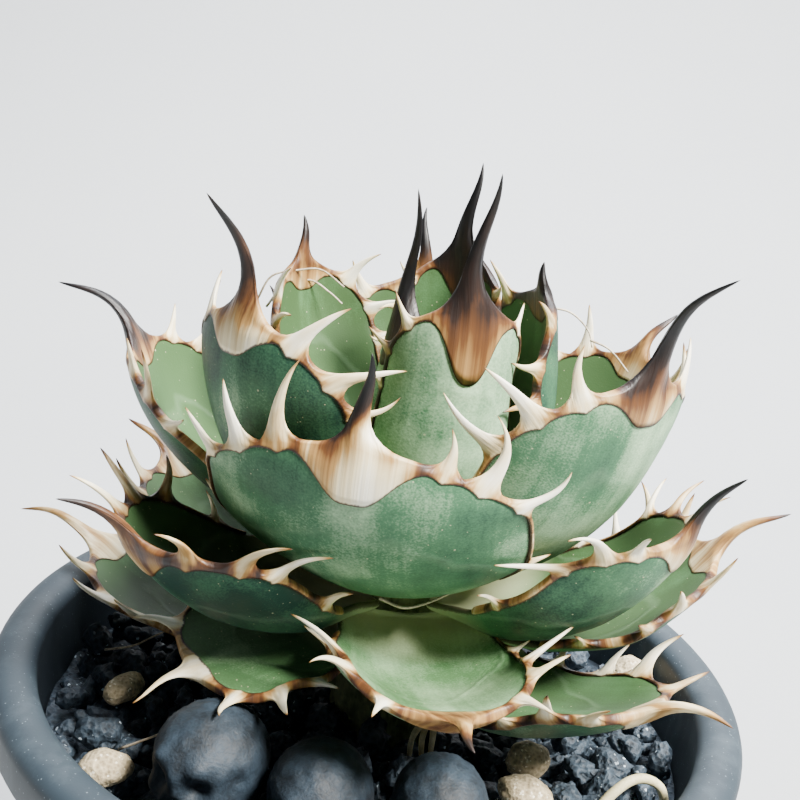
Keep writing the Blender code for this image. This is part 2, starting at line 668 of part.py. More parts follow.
def draw_tooth(bm, leaf, face, here, there, tall, sweep):
    """Draws a hooked tooth out of an outside face of the band; sweep leans it from here towards there."""
    outward = (here[2] + there[2]) * 0.5
    along, across = 0.5 * (here[0] + there[0]), 0.5 * (here[1] + there[1])
    foot = leaf.place(along, across, 0.0)
    off = outward * BAND_WIDTH
    ahead = (leaf.place(along + off.x, across + off.y, 0.0) - foot).normalized()
    inward = (leaf.place(along, across, BAND_WIDTH) - foot).normalized()
    edge = (leaf.place(there[0], there[1], 0.0) - leaf.place(here[0], here[1], 0.0)).normalized()
    bend = inward * tall * leaf.hook + edge * sweep
    base = face.calc_center_median()
    low, high, tip = (base + ahead * tall * share + bend * share**2 for share in (0.3, 0.68, 1.0))
    grow(bm, face, [(low, edge, 0.5, inward, 0.95), (high, edge, 0.5, inward, 0.65)], tip)


def draw_spine(bm, leaf, face):
    """Draws the terminal spine out of the band's face at the tip, turning from the blade's way to its own."""
    end, rise = math.radians(leaf.end), math.radians(leaf.spine_rise)
    place = face.calc_center_median()
    sideways = Vector((0.0, 1.0, 0.0))
    done = 0.0
    steps = []
    stages = ((0.12, 0.62, 1.75), (0.36, 0.62, 0.80), (0.66, 0.66, 0.66), (1.0, 0.0, 0.0))
    for share, keep_wide, keep_deep in stages:
        angle = end + (rise - end) * min(1.0, 1.6 * done + 0.15)
        up = Vector((-math.sin(angle), 0.0, math.cos(angle)))
        place = place + Vector((math.cos(angle), 0.0, math.sin(angle))) * leaf.spine * (share - done)
        steps.append((place, sideways, keep_wide, up, keep_deep))
        done = share
    grow(bm, face, steps[:-1], steps[-1][0])


def make_horn(leaf, finish, parent):
    """The horny margin: a band round the blade's edge, with teeth and the terminal spine drawn out of it."""
    line = margin_line(leaf)
    bm = bmesh.new()
    outside = make_band(bm, leaf, line)
    jitter = random.Random(100 + leaf.order)
    for side in (-1, 1):
        for i in range(TEETH_A_SIDE):
            index = 2 * i if side < 0 else len(line) - 2 - 2 * i
            tall = TOOTH_HEIGHTS[i] * leaf.tooth_size * jitter.uniform(0.8, 1.15)
            sweep = -side * jitter.uniform(-0.25, 0.45)
            tall, sweep = (SHOWN_TEETH | SHORT_TEETH).get((leaf.order, side, i), (tall, sweep))
            sweep *= tall
            draw_tooth(bm, leaf, outside[index], line[index], line[index + 1], tall, sweep)
    draw_spine(bm, leaf, outside[len(line) // 2 - 1])
    return add_node(f"horn_{leaf.order:02d}", bm, finish, parent)


def make_leaf(leaf, green, horn):
    """A leaf's blade and horny margin, on an empty at its root on the stem."""
    out, height = leaf.root
    turn = math.radians(leaf.azimuth - 90.0)
    root = bpy.data.objects.new(f"root_of_leaf_{leaf.order:02d}", None)
    bpy.context.scene.collection.objects.link(root)
    root.location = (PLANT_X + out * math.cos(turn), out * math.sin(turn), height)
    root.rotation_euler = (0.0, 0.0, turn)
    make_blade(leaf, green, root)
    make_horn(leaf, horn, root)


def main():
    clear_scene()
    make_pot(material("pot", POT_GREY, 0.5))
    make_mix(material("potting_mix", MIX_BROWN, 0.95))
    gravel = make_gravel(material("lava", LAVA_BLACK, 0.95))
    resin = material("resin", RESIN_BLACK, 0.6)
    for number, skull in enumerate(SKULLS, 1):
        make_skull(number, skull, resin, gravel)
    pumice = material("pumice", PUMICE_BEIGE, 0.9)
    for number, pebble in enumerate(PEBBLES, 1):
        make_pebble(number, pebble, pumice, gravel)
    make_root_arch(material("dry_root", ROOT_CREAM, 0.7), gravel)
    make_stem(material("stem", STEM_CREAM, 0.7))
    green = material("leaf", GREEN, 0.55)
    horn = material("horn", HORN, 0.6)
    for leaf in LEAVES:
        make_leaf(leaf, green, horn)


main()
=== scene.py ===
"""Looks of a potted agave titanota: waxy leaves with horny, toothed margins, in a pot of lava stones.

Metres, +Z up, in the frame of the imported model. Azimuths are in degrees round the pot's axis: 0 points
along -Y, towards the camera, and 90 along +X.
"""

import logging
import math
import random
from dataclasses import dataclass, field, replace
from enum import Enum
from functools import cached_property

import bmesh
import bpy
from mathutils import Matrix, Vector, noise

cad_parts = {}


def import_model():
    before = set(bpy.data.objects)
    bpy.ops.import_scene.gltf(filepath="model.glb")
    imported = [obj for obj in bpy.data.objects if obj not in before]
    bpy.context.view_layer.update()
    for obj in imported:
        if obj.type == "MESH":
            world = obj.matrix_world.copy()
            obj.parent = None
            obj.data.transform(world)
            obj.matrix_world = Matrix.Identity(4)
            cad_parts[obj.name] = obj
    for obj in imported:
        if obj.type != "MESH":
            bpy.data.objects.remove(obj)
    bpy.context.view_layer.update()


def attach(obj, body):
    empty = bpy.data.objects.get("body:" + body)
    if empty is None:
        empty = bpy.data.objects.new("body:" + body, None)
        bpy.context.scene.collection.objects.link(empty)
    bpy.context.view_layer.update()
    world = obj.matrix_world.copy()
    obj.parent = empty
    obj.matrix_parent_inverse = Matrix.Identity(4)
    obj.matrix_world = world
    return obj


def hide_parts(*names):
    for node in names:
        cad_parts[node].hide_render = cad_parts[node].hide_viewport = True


LOG = logging.getLogger("agave")
MM = 0.001

# What the part's source gives, in metres and degrees, or as shares
RIM_RADIUS = 0.090
RIM_WIDTH = 0.0105
RIM_ROUNDING = 0.004
RIM_LIP = 0.001
UNDER_RIM_RADIUS = 0.085
RIM_DROP = 0.012
POT_HEIGHT = 0.150
FOOT_RADIUS = 0.062
POT_WALL = 0.0035
POT_FLOOR = 0.004
GRAVEL_LEVEL = 0.1335
PLANT_X = 0.003
LEAFY_FOOT = 0.157
LEAFY_FOOT_RADIUS = 0.0160
STEM_TOP = 0.187
STEM_TOP_RADIUS = 0.0068
CLEARANCE = 0.0003

DIVERGENCE = -138.5
FIRST_AZIMUTH = -64.0
LEAF_STEP = 0.0013

HANDLE = 0.37
ROOT_WRAP = 1.15
ROOT_THICKNESS = 0.0040
ROOT_ROOM = 0.0005
MIDDLE_THICKNESS = 0.0050
TIP_THICKNESS = 0.0030
EDGE_THICKNESS = 0.0016
WIDEST = 0.62
TIP_BLUNTNESS = 3.3
TIP_HALF_WIDTH = 0.0034
EDGE_WAVE = 0.0008

FIRST_TOOTH = 0.43
TOOTH_PLACES = (0.0315, 0.0215, 0.0118)
TOOTH_BASE = 0.0072
TOOTH_HEIGHTS = (0.0080, 0.0115, 0.0132, 0.0112)
BAND_WIDTH = 0.0005
PLAIN_BAND = 0.0014
SPINE_STAGES = (0.12, 0.36, 0.66, 1.0)

# The share of a leaf's length below which its neighbours press it straight
FREE_FROM = 0.33

# Where the rows of a margin run: over a face, from its border to the edge, and then up a prong
INSETS = (1.0, 0.68, 0.34, 0.0)
RISES = (0.20, 0.42, 0.64, 0.84, 1.0)

# Where they cross the base of a prong, from one end of it to the other
BASE_PLACES = (-1.0, -0.72, -0.5, -0.33, -0.19, -0.08, 0.0, 0.08, 0.19, 0.33, 0.5, 0.72, 1.0)

# What counts as far from a margin's border, in millimetres
FAR_FROM_BORDER = 6.0


def srgb(code: str) -> tuple[float, float, float, float]:
    """Turns an sRGB hex colour to a linear one.

    Args:
        code: six hex digits.

    Returns:
        Red, green, blue and alpha.
    """
    parts = [int(code[i : i + 2], 16) / 255.0 for i in (0, 2, 4)]
    linear = [part / 12.92 if part <= 0.04045 else ((part + 0.055) / 1.055) ** 2.4 for part in parts]
    return (linear[0], linear[1], linear[2], 1.0)


def add_node(
    tree: bpy.types.NodeTree, kind: str, sockets: dict, out: int = 0, **settings: object
) -> bpy.types.NodeSocket:
    """Adds a node with its settings, its values and its links.

    Args:
        tree: the tree that it goes into.
        kind: the node's type, without the word that all shader nodes' types start with.
        sockets: input name or index to a value, or to the socket that feeds it.
        out: which output to give back.
        **settings: the node's properties.

    Returns:
        The output.
    """
    node = tree.nodes.new("ShaderNode" + kind)
    for name, value in settings.items():
        setattr(node, name, value)
    for name, value in sockets.items():
        if isinstance(value, bpy.types.NodeSocket):
            tree.links.new(value, node.inputs[name])
        else:
            node.inputs[name].default_value = value
    return node.outputs[out]


def smooth_step(low: float, high: float, value: float) -> float:
    """Rises smoothly from 0 at low to 1 at high."""
    share = min(max((value - low) / (high - low), 0.0), 1.0)
    return share * share * (3.0 - 2.0 * share)


def turn_axes(first: Vector, second: Vector, angle: float) -> tuple[Vector, Vector]:
    """Turns two axes, the first towards the second, by an angle in degrees."""
    cosine, sine = math.cos(math.radians(angle)), math.sin(math.radians(angle))
    return first * cosine + second * sine, second * cosine - first * sine


def mesh_of(bm: bmesh.types.BMesh, name: str) -> bpy.types.Mesh:
    """Turns a bmesh to a smooth mesh, and frees it.

    Args:
        bm: the bmesh.
        name: the mesh's name.

    Returns:
        The mesh.
    """
    mesh = bpy.data.meshes.new(name)
    bm.to_mesh(mesh)
    bm.free()
    mesh.shade_smooth()
    return mesh


class Draft:
    """Points, faces and per-point traits of a mesh while it is being made."""

    def __init__(self) -> None:
        """Starts empty."""
        self.points: list[Vector] = []
        self.faces: list[tuple[int, ...]] = []
        self.traits: dict[str, list] = {}
        self.creased: set[frozenset[int]] = set()

    def point(self, place: Vector, **traits: object) -> int:
        """Adds a point.

        Args:
            place: where it is.
            **traits: its value of each trait, a number or a vector.

        Returns:
            Its index.
        """
        self.points.append(place)
        for name, value in traits.items():
            self.traits.setdefault(name, []).append(value)
        return len(self.points) - 1

    def span(self, rows: list[list[int]], around: bool = False) -> None:
        """Joins rows of points with quads.

        Args:
            rows: rows of indices, all as long as each other.
            around: whether each row closes on itself.
        """
        count = len(rows[0])
        for lower, upper in zip(rows, rows[1:]):
            for j in range(count if around else count - 1):
                k = (j + 1) % count
                self.faces.append((lower[j], lower[k], upper[k], upper[j]))

    def tube(self, loops: list[list[int]]) -> None:
        """Joins closed loops of points one after another, and closes both ends."""
        self.span(loops, around=True)
        self.faces += [tuple(loops[0]), tuple(loops[-1])]

    def crease(self, line: list[int]) -> None:
        """Keeps the edges along a line of points sharp when the mesh is subdivided."""
        self.creased.update(frozenset(pair) for pair in zip(line, line[1:]))

    def mesh(self, name: str) -> bpy.types.Mesh:
        """Makes the mesh, its faces all pointing out and smooth.

        Args:
            name: the mesh's name.

        Returns:
            The mesh, with an attribute for each trait.
        """
        mesh = bpy.data.meshes.new(name)
        mesh.from_pydata(self.points, [], self.faces)
        for trait, values in self.traits.items():
            vector = isinstance(values[0], (tuple, Vector))
            layer = mesh.attributes.new(trait, "FLOAT_VECTOR" if vector else "FLOAT", "POINT")
            flat = [part for value in values for part in value] if vector else values
            layer.data.foreach_set("vector" if vector else "value", flat)
        if self.creased:
            layer = mesh.attributes.new("crease_edge", "FLOAT", "EDGE")
            sharp = [float(frozenset(edge.vertices) in self.creased) for edge in mesh.edges]
            layer.data.foreach_set("value", sharp)
        bm = bmesh.new()
        bm.from_mesh(mesh)
        bmesh.ops.recalc_face_normals(bm, faces=bm.faces)
        bm.to_mesh(mesh)
        bm.free()
        mesh.shade_smooth()
        return mesh


class Slot(Enum):
    """The record's material slots."""

    POT = "pot_plastic"
    MIX = "potting_mix"
    LAVA = "lava"
    STEM = "stem"
    FLESH = "leaf_flesh"
    HORN = "horn"
    RESIN = "resin"
    PUMICE = "pumice"
    ROOT = "dry_root"


def add_piece(
    name: str,
    mesh: bpy.types.Mesh,
    finish: bpy.types.Material,
    stands_for: tuple[str, ...] = (),
    subdivided: int = 0,
) -> bpy.types.Object:
    """Adds a piece of the plant or its pot to the scene.

    Args:
        name: its name.
        mesh: its mesh.
        finish: its material.
        stands_for: the CAD nodes that it replaces.
        subdivided: how often its faces are subdivided.

    Returns:
        The piece.
    """
    piece = bpy.data.objects.new(name, mesh)
    bpy.context.scene.collection.objects.link(piece)
    mesh.materials.append(finish)
    if subdivided:
        rounding = piece.modifiers.new("rounding", "SUBSURF")
        rounding.levels = rounding.render_levels = subdivided
    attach(piece, "root")
    if stands_for:
        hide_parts(*stands_for)
    LOG.info("%s: %d points", name, len(mesh.vertices))
    return piece


def add_strand(draft: Draft, points: list[Vector], thick: float, thin: float, sides: int) -> None:
    """Adds a strand to a draft, as a tube round a smooth curve.

    Args:
        draft: the mesh being made.
        points: where the strand passes.
        thick: its radius at the start.
        thin: its radius at the end.
        sides: how many sides its section has.
    """
    knots = [points[0] * 2 - points[1], *points, points[-1] * 2 - points[-2]]
    line = []
    for i in range(1, len(knots) - 2):
        a, b, c, d = knots[i - 1 : i + 3]
        for step in range(6):
            t = step / 6
            bend = (2 * a - 5 * b + 4 * c - d) * t * t + (3 * b - a - 3 * c + d) * t**3
            line.append(0.5 * (2 * b + (c - a) * t + bend))
    line.append(points[-1])
    loops = []
    across = Vector((0.3, 0.5, 0.81))
    for i, point in enumerate(line):
        ahead = (line[min(i + 1, len(line) - 1)] - line[max(i - 1, 0)]).normalized()
        across = (across - ahead * across.dot(ahead)).normalized()
        other = ahead.cross(across)
        radius = thick + (thin - thick) * i / (len(line) - 1)
        loop = []
        for j in range(sides):
            angle = 2 * math.pi * j / sides
            loop.append(draft.point(point + radius * (math.cos(angle) * across + math.sin(angle) * other)))
        loops.append(loop)
    draft.tube(loops)


def strands(name: str, lines: tuple, thick: float, thin: float, sides: int) -> bpy.types.Mesh:
    """Makes one mesh of some strands.

    Args:
        name: the mesh's name.
        lines: the points that each strand passes.
        thick: their radius at the start.
        thin: their radius at the end.
        sides: how many sides their sections have.

    Returns:
        The mesh.
    """
    draft = Draft()
    for line in lines:
        add_strand(draft, [Vector(point) for point in line], thick, thin, sides)
    return draft.mesh(name)


# Finishes


def start_finish(name: str, ior: float) -> tuple[bpy.types.Material, bpy.types.NodeTree]:
    """Starts a finish.

    Args:
        name: the material's name.
        ior: its index of refraction.

    Returns:
        The material and its tree.
    """
    finish = bpy.data.materials.new(name)
    finish.use_nodes = True
    finish.node_tree.nodes["Principled BSDF"].inputs["IOR"].default_value = ior
    return finish, finish.node_tree


def dress(
    tree: bpy.types.NodeTree,
    tone: bpy.types.NodeSocket | tuple[float, float, float, float],
    layers: tuple[tuple[bpy.types.NodeSocket, str], ...],
    rough: bpy.types.NodeSocket,
    relief: bpy.types.NodeSocket,
    strength: float,
    depth_mm: float,
) -> None:
    """Feeds a surface with what was worked out for it.

    Args:
        tree: the material's tree.
        tone: its ground colour, worked out or linear.
        layers: what lies on that, from the lowest up: how far it covers, and its colour in sRGB hex.
        rough: its roughness.
        relief: its height.
        strength: how strongly the height shows.
        depth_mm: how deep the relief is, in millimetres.
    """
    for cover, colour in layers:
        tone = add_node(tree, "Mix", {0: cover, 6: tone, 7: srgb(colour)}, 2, data_type="RGBA")
    bump = add_node(tree, "Bump", {"Height": relief, "Strength": strength, "Distance": depth_mm * MM})
    surface = tree.nodes["Principled BSDF"]
    for name, socket in (("Base Color", tone), ("Roughness", rough), ("Normal", bump)):
        tree.links.new(socket, surface.inputs[name])


@dataclass(frozen=True)
class WaxyCuticle:
    """Living agave skin: a tough cuticle under powdery wax bloom, so it is matte with a soft wide gloss."""

    deep: str = "1B382D"
    green: str = "426C4D"
    bloom: str = "A9C9A2"
    lime: str = "62803F"
    cream: str = "C9C9A0"
    stain: str = "33291C"
    ior: float = 1.45
    gloss: float = 0.22
    roughness: float = 0.52
    blotch_mm: float = 17.0
    stria_mm: float = 1.5
    grain_mm: float = 0.45  # the wax powder is far finer, and is drawn coarse enough to show
    scar_mm: float = 1.6
    depth_mm: float = 0.08

    # How much each of these changes the bloom
    blotches: float = 1.3
    streaks: float = 0.28
    grains: float = 0.5
    keel: float = 0.28
    shelter: float = 0.36

    def material(self) -> bpy.types.Material:
        """Makes the material from the traits that a blade's points carry.

        Returns:
            The material.
        """
        finish, tree = start_finish("waxy_cuticle", self.ior)
        tree.nodes["Principled BSDF"].inputs["Specular IOR Level"].default_value = self.gloss
        flow = add_node(tree, "Attribute", {}, 1, attribute_name="flow")
        share, side, pallor, edge, inner = (
            add_node(tree, "Attribute", {}, 2, attribute_name=trait)
            for trait in ("share", "side", "pallor", "edge", "inner")
        )
        blotch = add_node(tree, "TexNoise", {"Vector": flow, "Scale": 1.0 / self.blotch_mm, "Detail": 4.0})
        combed = add_node(tree, "VectorMath", {0: flow, 1: (1.0, 0.06, 1.0)}, operation="MULTIPLY")
        stria = add_node(tree, "TexNoise", {"Vector": combed, "Scale": 1.0 / self.stria_mm, "Detail": 3.0})
        grain = add_node(tree, "TexNoise", {"Vector": flow, "Scale": 1.0 / self.grain_mm, "Detail": 2.0})

        # How much bloom shows: more on young leaves, in blotches, along the keel and in fine streaks,
        # and less on the sheltered inner face; each leaf's own share also holds painted shade and painted
        # light
        keel = add_node(tree, "Math", {0: side, 1: side}, operation="MULTIPLY")
        near = {0: keel, 1: 0.0, 2: 0.035, 3: 1.0, 4: 0.0}
        keel = add_node(tree, "MapRange", near, interpolation_type="SMOOTHSTEP")
        upper = add_node(tree, "MapRange", {0: share, 1: 0.35, 2: 0.95})
        keel = add_node(tree, "Math", {0: keel, 1: upper}, operation="MULTIPLY")
        # Each leaf's share: real bloom, plus painted shade on shaded leaves and painted light on lit ones
        amount = pallor
        for pattern, weight, middle in (
            (blotch, self.blotches, 0.5),
            (inner, -self.shelter, 0.0),
            (keel, self.keel, 0.0),
            (stria, self.streaks, 0.5),
            (grain, self.grains, 0.5),
        ):
            change = add_node(tree, "Math", {0: pattern, 1: middle}, operation="SUBTRACT")
            amount = add_node(tree, "Math", {0: change, 1: weight, 2: amount}, operation="MULTIPLY_ADD")
        amount = add_node(tree, "Clamp", {0: amount})
        tone = add_node(tree, "ValToRGB", {0: amount})
        ramp = tone.node.color_ramp
        ramp.elements[0].color = srgb(self.deep)
        ramp.elements[1].color = srgb(self.bloom)
        ramp.elements.new(0.42).color = srgb(self.green)

        # The inner face is yellower, the base paler, and the skin browns in a thin line beside the horn
        yellow = add_node(tree, "Math", {0: inner, 1: 0.32}, operation="MULTIPLY")
        pale = add_node(tree, "MapRange", {0: share, 1: 0.32, 2: 0.05, 3: 0.0, 4: 0.7})
        ragged = add_node(tree, "Math", {0: grain, 1: 1.2, 2: edge}, operation="MULTIPLY_ADD")
        rust = add_node(tree, "MapRange", {0: ragged, 1: 1.5, 2: 0.9, 3: 0.0, 4: 0.8})

        # The print that the next leaf's toothed margin pressed into this one in the bud: a lobed arch
        arch = add_node(tree, "Math", {0: side, 1: side}, operation="MULTIPLY")
        arch = add_node(tree, "Math", {0: arch, 1: 0.42, 2: share}, operation="MULTIPLY_ADD")
        lobes = add_node(tree, "Math", {0: side, 1: 11.0}, operation="MULTIPLY")
        lobes = add_node(tree, "Math", {0: lobes}, operation="COSINE")
        arch = add_node(tree, "Math", {0: lobes, 1: 0.022, 2: arch}, operation="MULTIPLY_ADD")
        wander = add_node(tree, "Math", {0: blotch, 1: 0.25, 2: arch}, operation="MULTIPLY_ADD")
        print_off = add_node(tree, "Math", {0: wander, 1: 0.86}, operation="SUBTRACT")
        print_off = add_node(tree, "Math", {0: print_off}, operation="ABSOLUTE")
        near = {0: print_off, 1: 0.0, 2: 0.04, 3: 1.0, 4: 0.0}
        print_line = add_node(tree, "MapRange", near, interpolation_type="SMOOTHSTEP")
        print_tint = add_node(tree, "Math", {0: print_line, 1: 0.07}, operation="MULTIPLY")

        # Tiny pale scars
        cells = add_node(tree, "TexVoronoi", {"Vector": flow, "Scale": 1.0 / self.scar_mm})
        rarity = add_node(tree, "TexNoise", {"Vector": flow, "Scale": 0.56 / self.scar_mm, "Detail": 2.0})
        scars = add_node(tree, "Math", {0: rarity, 1: -0.5, 2: cells}, operation="MULTIPLY_ADD")
        scars = add_node(tree, "MapRange", {0: scars, 1: -0.17, 2: -0.23, 3: 0.0, 4: 0.55})

        rough = add_node(
            tree, "Math", {0: blotch, 1: 0.22, 2: self.roughness - 0.11}, operation="MULTIPLY_ADD"
        )
        relief = add_node(tree, "Math", {0: stria, 1: 0.35, 2: grain}, operation="MULTIPLY_ADD")
        relief = add_node(tree, "Math", {0: print_line, 1: 2.4, 2: relief}, operation="MULTIPLY_ADD")
        layers = (
            (yellow, self.lime),
            (pale, self.cream),
            (rust, self.stain),
            (print_tint, self.bloom),
            (scars, self.cream),
        )
        dress(tree, tone, layers, rough, relief, 0.45, self.depth_mm)
        return finish


@dataclass(frozen=True)
class DryHorn:
    """Dead horny tissue, like fingernail: satin and fibrous, ivory that ages through tan to black."""

    ages: tuple[tuple[float, str], ...] = (
        (0.0, "FAF5E2"),
        (0.20, "E3D2A6"),
        (0.38, "A9834C"),
        (0.55, "5E3B1F"),
        (0.74, "241610"),
        (1.0, "0A090B"),
    )
    border: str = "2B1A12"
    ior: float = 1.54
    gloss: float = 0.34
    roughness: float = 0.44
    fibre_mm: float = 0.7
    patch_mm: float = 3.6
    depth_mm: float = 0.25

    # How much patches and fibres change how old the horn looks
    patches: float = 0.8
    stripes: float = 0.16

    def material(self) -> bpy.types.Material:
        """Makes the material from the traits that a margin's points carry.

        Returns:
            The material.
        """
        finish, tree = start_finish("dry_horn", self.ior)
        tree.nodes["Principled BSDF"].inputs["Specular IOR Level"].default_value = self.gloss
        flow = add_node(tree, "Attribute", {}, 1, attribute_name="flow")
        age, border = (
            add_node(tree, "Attribute", {}, 2, attribute_name=trait) for trait in ("age", "border")
        )
        combed = add_node(tree, "VectorMath", {0: flow, 1: (1.0, 0.09, 1.0)}, operation="MULTIPLY")
        fibre = add_node(tree, "TexNoise", {"Vector": combed, "Scale": 1.0 / self.fibre_mm, "Detail": 3.0})
        stretched = add_node(tree, "VectorMath", {0: flow, 1: (1.0, 0.35, 1.0)}, operation="MULTIPLY")
        patch = add_node(
            tree, "TexNoise", {"Vector": stretched, "Scale": 1.0 / self.patch_mm, "Detail": 4.0}
        )
        total = age
        for pattern, weight in ((patch, self.patches), (fibre, self.stripes)):
            change = add_node(tree, "Math", {0: pattern, 1: 0.5}, operation="SUBTRACT")
            total = add_node(tree, "Math", {0: change, 1: weight, 2: total}, operation="MULTIPLY_ADD")
        total = add_node(tree, "Clamp", {0: total})
        tone = add_node(tree, "ValToRGB", {0: total})
        ramp = tone.node.color_ramp
        ramp.elements[0].color = srgb(self.ages[0][1])
        ramp.elements[1].color = srgb(self.ages[-1][1])
        for place, code in self.ages[1:-1]:
            ramp.elements.new(place).color = srgb(code)
        ragged = add_node(tree, "Math", {0: fibre, 1: 0.8, 2: border}, operation="MULTIPLY_ADD")
        line = add_node(tree, "MapRange", {0: ragged, 1: 0.95, 2: 0.6, 3: 0.0, 4: 0.92})
        rough = add_node(
            tree, "Math", {0: fibre, 1: 0.3, 2: self.roughness - 0.15}, operation="MULTIPLY_ADD"
        )
        relief = add_node(tree, "Math", {0: patch, 1: 0.8, 2: fibre}, operation="MULTIPLY_ADD")
        dress(tree, tone, ((line, self.border),), rough, relief, 0.6, self.depth_mm)
        return finish


@dataclass(frozen=True)
class BrokenStone:
    """Volcanic stone: dull and full of bubbles, with small smoother crystal faces whose glints are painted
    in as pale specks.
    """

    name: str
    dark: str
    light: str
    speck_glint: str
    pore_mm: float
    speck_glint_share: float
    roughness: float
    depth_mm: float
    ior: float = 1.5

    def material(self) -> bpy.types.Material:
        """Makes the material.

        Returns:
            The material.
        """
        finish, tree = start_finish(self.name, self.ior)
        pore = self.pore_mm * MM
        place = add_node(tree, "TexCoord", {}, 3)
        pores = add_node(tree, "TexVoronoi", {"Vector": place, "Scale": 1.0 / pore})
        coarse = add_node(
            tree, "TexNoise", {"Vector": place, "Scale": 0.4 / pore, "Detail": 6.0, "Roughness": 0.7}
        )
        mixed = add_node(tree, "Math", {0: pores, 1: 0.7, 2: coarse}, operation="MULTIPLY_ADD")
        amount = add_node(tree, "MapRange", {0: mixed, 1: 0.45, 2: 1.25})
        # Pale specks that are painted glints; they are also less rough, so they catch real highlights as
        # well
        cells = add_node(tree, "TexVoronoi", {"Vector": place, "Scale": 2.2 / pore}, 1)
        lot = add_node(tree, "SeparateXYZ", {0: cells})
        speck_glint = add_node(
            tree, "MapRange", {0: lot, 1: 1.0 - self.speck_glint_share, 2: 1.0 - 0.6 * self.speck_glint_share}
        )
        rough = add_node(tree, "MapRange", {0: speck_glint, 3: self.roughness, 4: 0.25})
        layers = ((amount, self.light), (speck_glint, self.speck_glint))
        dress(tree, srgb(self.dark), layers, rough, mixed, 0.9, self.depth_mm)
        return finish


@dataclass(frozen=True)
class DustyPolypropylene:
    """Injection-moulded polypropylene, fine-grained from the mould, with dust and pale scuffs from use."""

    grey: str = "28353E"
    dark: str = "1D262D"
    dust: str = "66737A"
    ior: float = 1.49
    roughness: float = 0.58
    mottle_mm: float = 22.0
    run_mm: float = 8.333
    speck_mm: float = 1.1
    grain_mm: float = 0.5556  # about five times the mould's own grain, so that it shows
    depth_mm: float = 0.06

    def material(self) -> bpy.types.Material:
        """Makes the material.

        Returns:
            The material.
        """
        finish, tree = start_finish("dusty_polypropylene", self.ior)
        place = add_node(tree, "TexCoord", {}, 3)
        mottle = add_node(
            tree, "TexNoise", {"Vector": place, "Scale": 1.0 / (self.mottle_mm * MM), "Detail": 5.0}
        )

        # Watering leaves the dust in runs down the side
        down = add_node(tree, "VectorMath", {0: place, 1: (1.0, 1.0, 0.25)}, operation="MULTIPLY")
        run = {"Vector": down, "Scale": 1.0 / (self.run_mm * MM), "Detail": 6.0, "Roughness": 0.65}
        film = add_node(tree, "TexNoise", run)
        film = add_node(tree, "MapRange", {0: film, 1: 0.5, 2: 0.8, 3: 0.0, 4: 0.22})
        cells = add_node(tree, "TexVoronoi", {"Vector": place, "Scale": 1.0 / (self.speck_mm * MM)})
        lot = add_node(tree, "TexNoise", {"Vector": place, "Scale": 0.33 / (self.speck_mm * MM)})
        specks = add_node(tree, "Math", {0: lot, 1: -0.45, 2: cells}, operation="MULTIPLY_ADD")
        specks = add_node(tree, "MapRange", {0: specks, 1: -0.10, 2: -0.16, 3: 0.0, 4: 0.8})
        rough = add_node(
            tree, "Math", {0: mottle, 1: 0.2, 2: self.roughness - 0.1}, operation="MULTIPLY_ADD"
        )
        grain = add_node(
            tree, "TexNoise", {"Vector": place, "Scale": 1.0 / (self.grain_mm * MM), "Detail": 2.0}
        )
        layers = ((mottle, self.grey), (film, self.dust), (specks, self.dust))
        dress(tree, srgb(self.dark), layers, rough, grain, 0.35, self.depth_mm)
        return finish


@dataclass(frozen=True)
class MottledMatter:
    """A matte natural or cast stuff of two tones: mottled, with grain along one axis where it is combed."""

    name: str
    first: str
    second: str
    patch_mm: float
    grain_mm: float
    roughness: float
    depth_mm: float
    comb: tuple[float, float, float] = (1.0, 1.0, 1.0)
    ior: float = 1.5

    def material(self) -> bpy.types.Material:
        """Makes the material.

        Returns:
            The material.
        """
        finish, tree = start_finish(self.name, self.ior)
        place = add_node(tree, "TexCoord", {}, 3)
        combed = add_node(tree, "VectorMath", {0: place, 1: self.comb}, operation="MULTIPLY")
        patch = add_node(
            tree, "TexNoise", {"Vector": combed, "Scale": 1.0 / (self.patch_mm * MM), "Detail": 5.0}
        )
        grain = add_node(
            tree, "TexNoise", {"Vector": combed, "Scale": 1.0 / (self.grain_mm * MM), "Detail": 3.0}
        )
        mixed = add_node(tree, "Math", {0: grain, 1: 0.5, 2: patch}, operation="MULTIPLY_ADD")
        amount = add_node(tree, "MapRange", {0: mixed, 1: 0.55, 2: 0.95})
        rough = add_node(
            tree, "MapRange", {0: grain, 3: self.roughness - 0.1, 4: min(1.0, self.roughness + 0.1)}
        )
        dress(tree, srgb(self.first), ((amount, self.second),), rough, mixed, 0.7, self.depth_mm)
        return finish


# Basalt lava, broken: black and half glassy, with pale specks on fresh faces that are painted glints
LAVA_STONE = BrokenStone(
    "lava_stone",
    "11181F",
    "3F4E5B",
    "C3D2DC",
    pore_mm=1.3,
    speck_glint_share=0.010,
    roughness=0.55,
    depth_mm=0.9,
)

# Pumice, worn round: pale, dusty and dull
PUMICE_STONE = BrokenStone(
    "pumice_stone",
    "85765A",
    "D3C3A0",
    "EDE4CC",
    pore_mm=0.9,
    speck_glint_share=0.05,
    roughness=0.85,
    depth_mm=0.35,
)

# Polyester resin, cast and painted blue-black: a dull sheen over fine mould grain
CAST_RESIN = MottledMatter(
    "cast_resin", "0F171E", "25333F", patch_mm=5.0, grain_mm=0.6, roughness=0.66, depth_mm=0.35
)

# Peat and bark, moist: brown crumbs without any gloss
PEAT_MIX = MottledMatter(
    "peat_mix", "2A2019", "54432F", patch_mm=3.0, grain_mm=0.8, roughness=0.95, depth_mm=0.6
)

# Green stem under corky scars: streaked along its length
STEM_BARK = MottledMatter(
    "stem_bark",
    "4F5A36",
    "9AA274",
    patch_mm=5.0,
    grain_mm=0.9,
    roughness=0.8,
    depth_mm=0.4,
    comb=(1.0, 1.0, 0.35),
)

# Aerial root, dried: cream and nearly smooth
ROOT_SKIN = MottledMatter(
    "root_skin", "B9AE7C", "E6DDB4", patch_mm=6.0, grain_mm=0.5, roughness=0.6, depth_mm=0.1
)

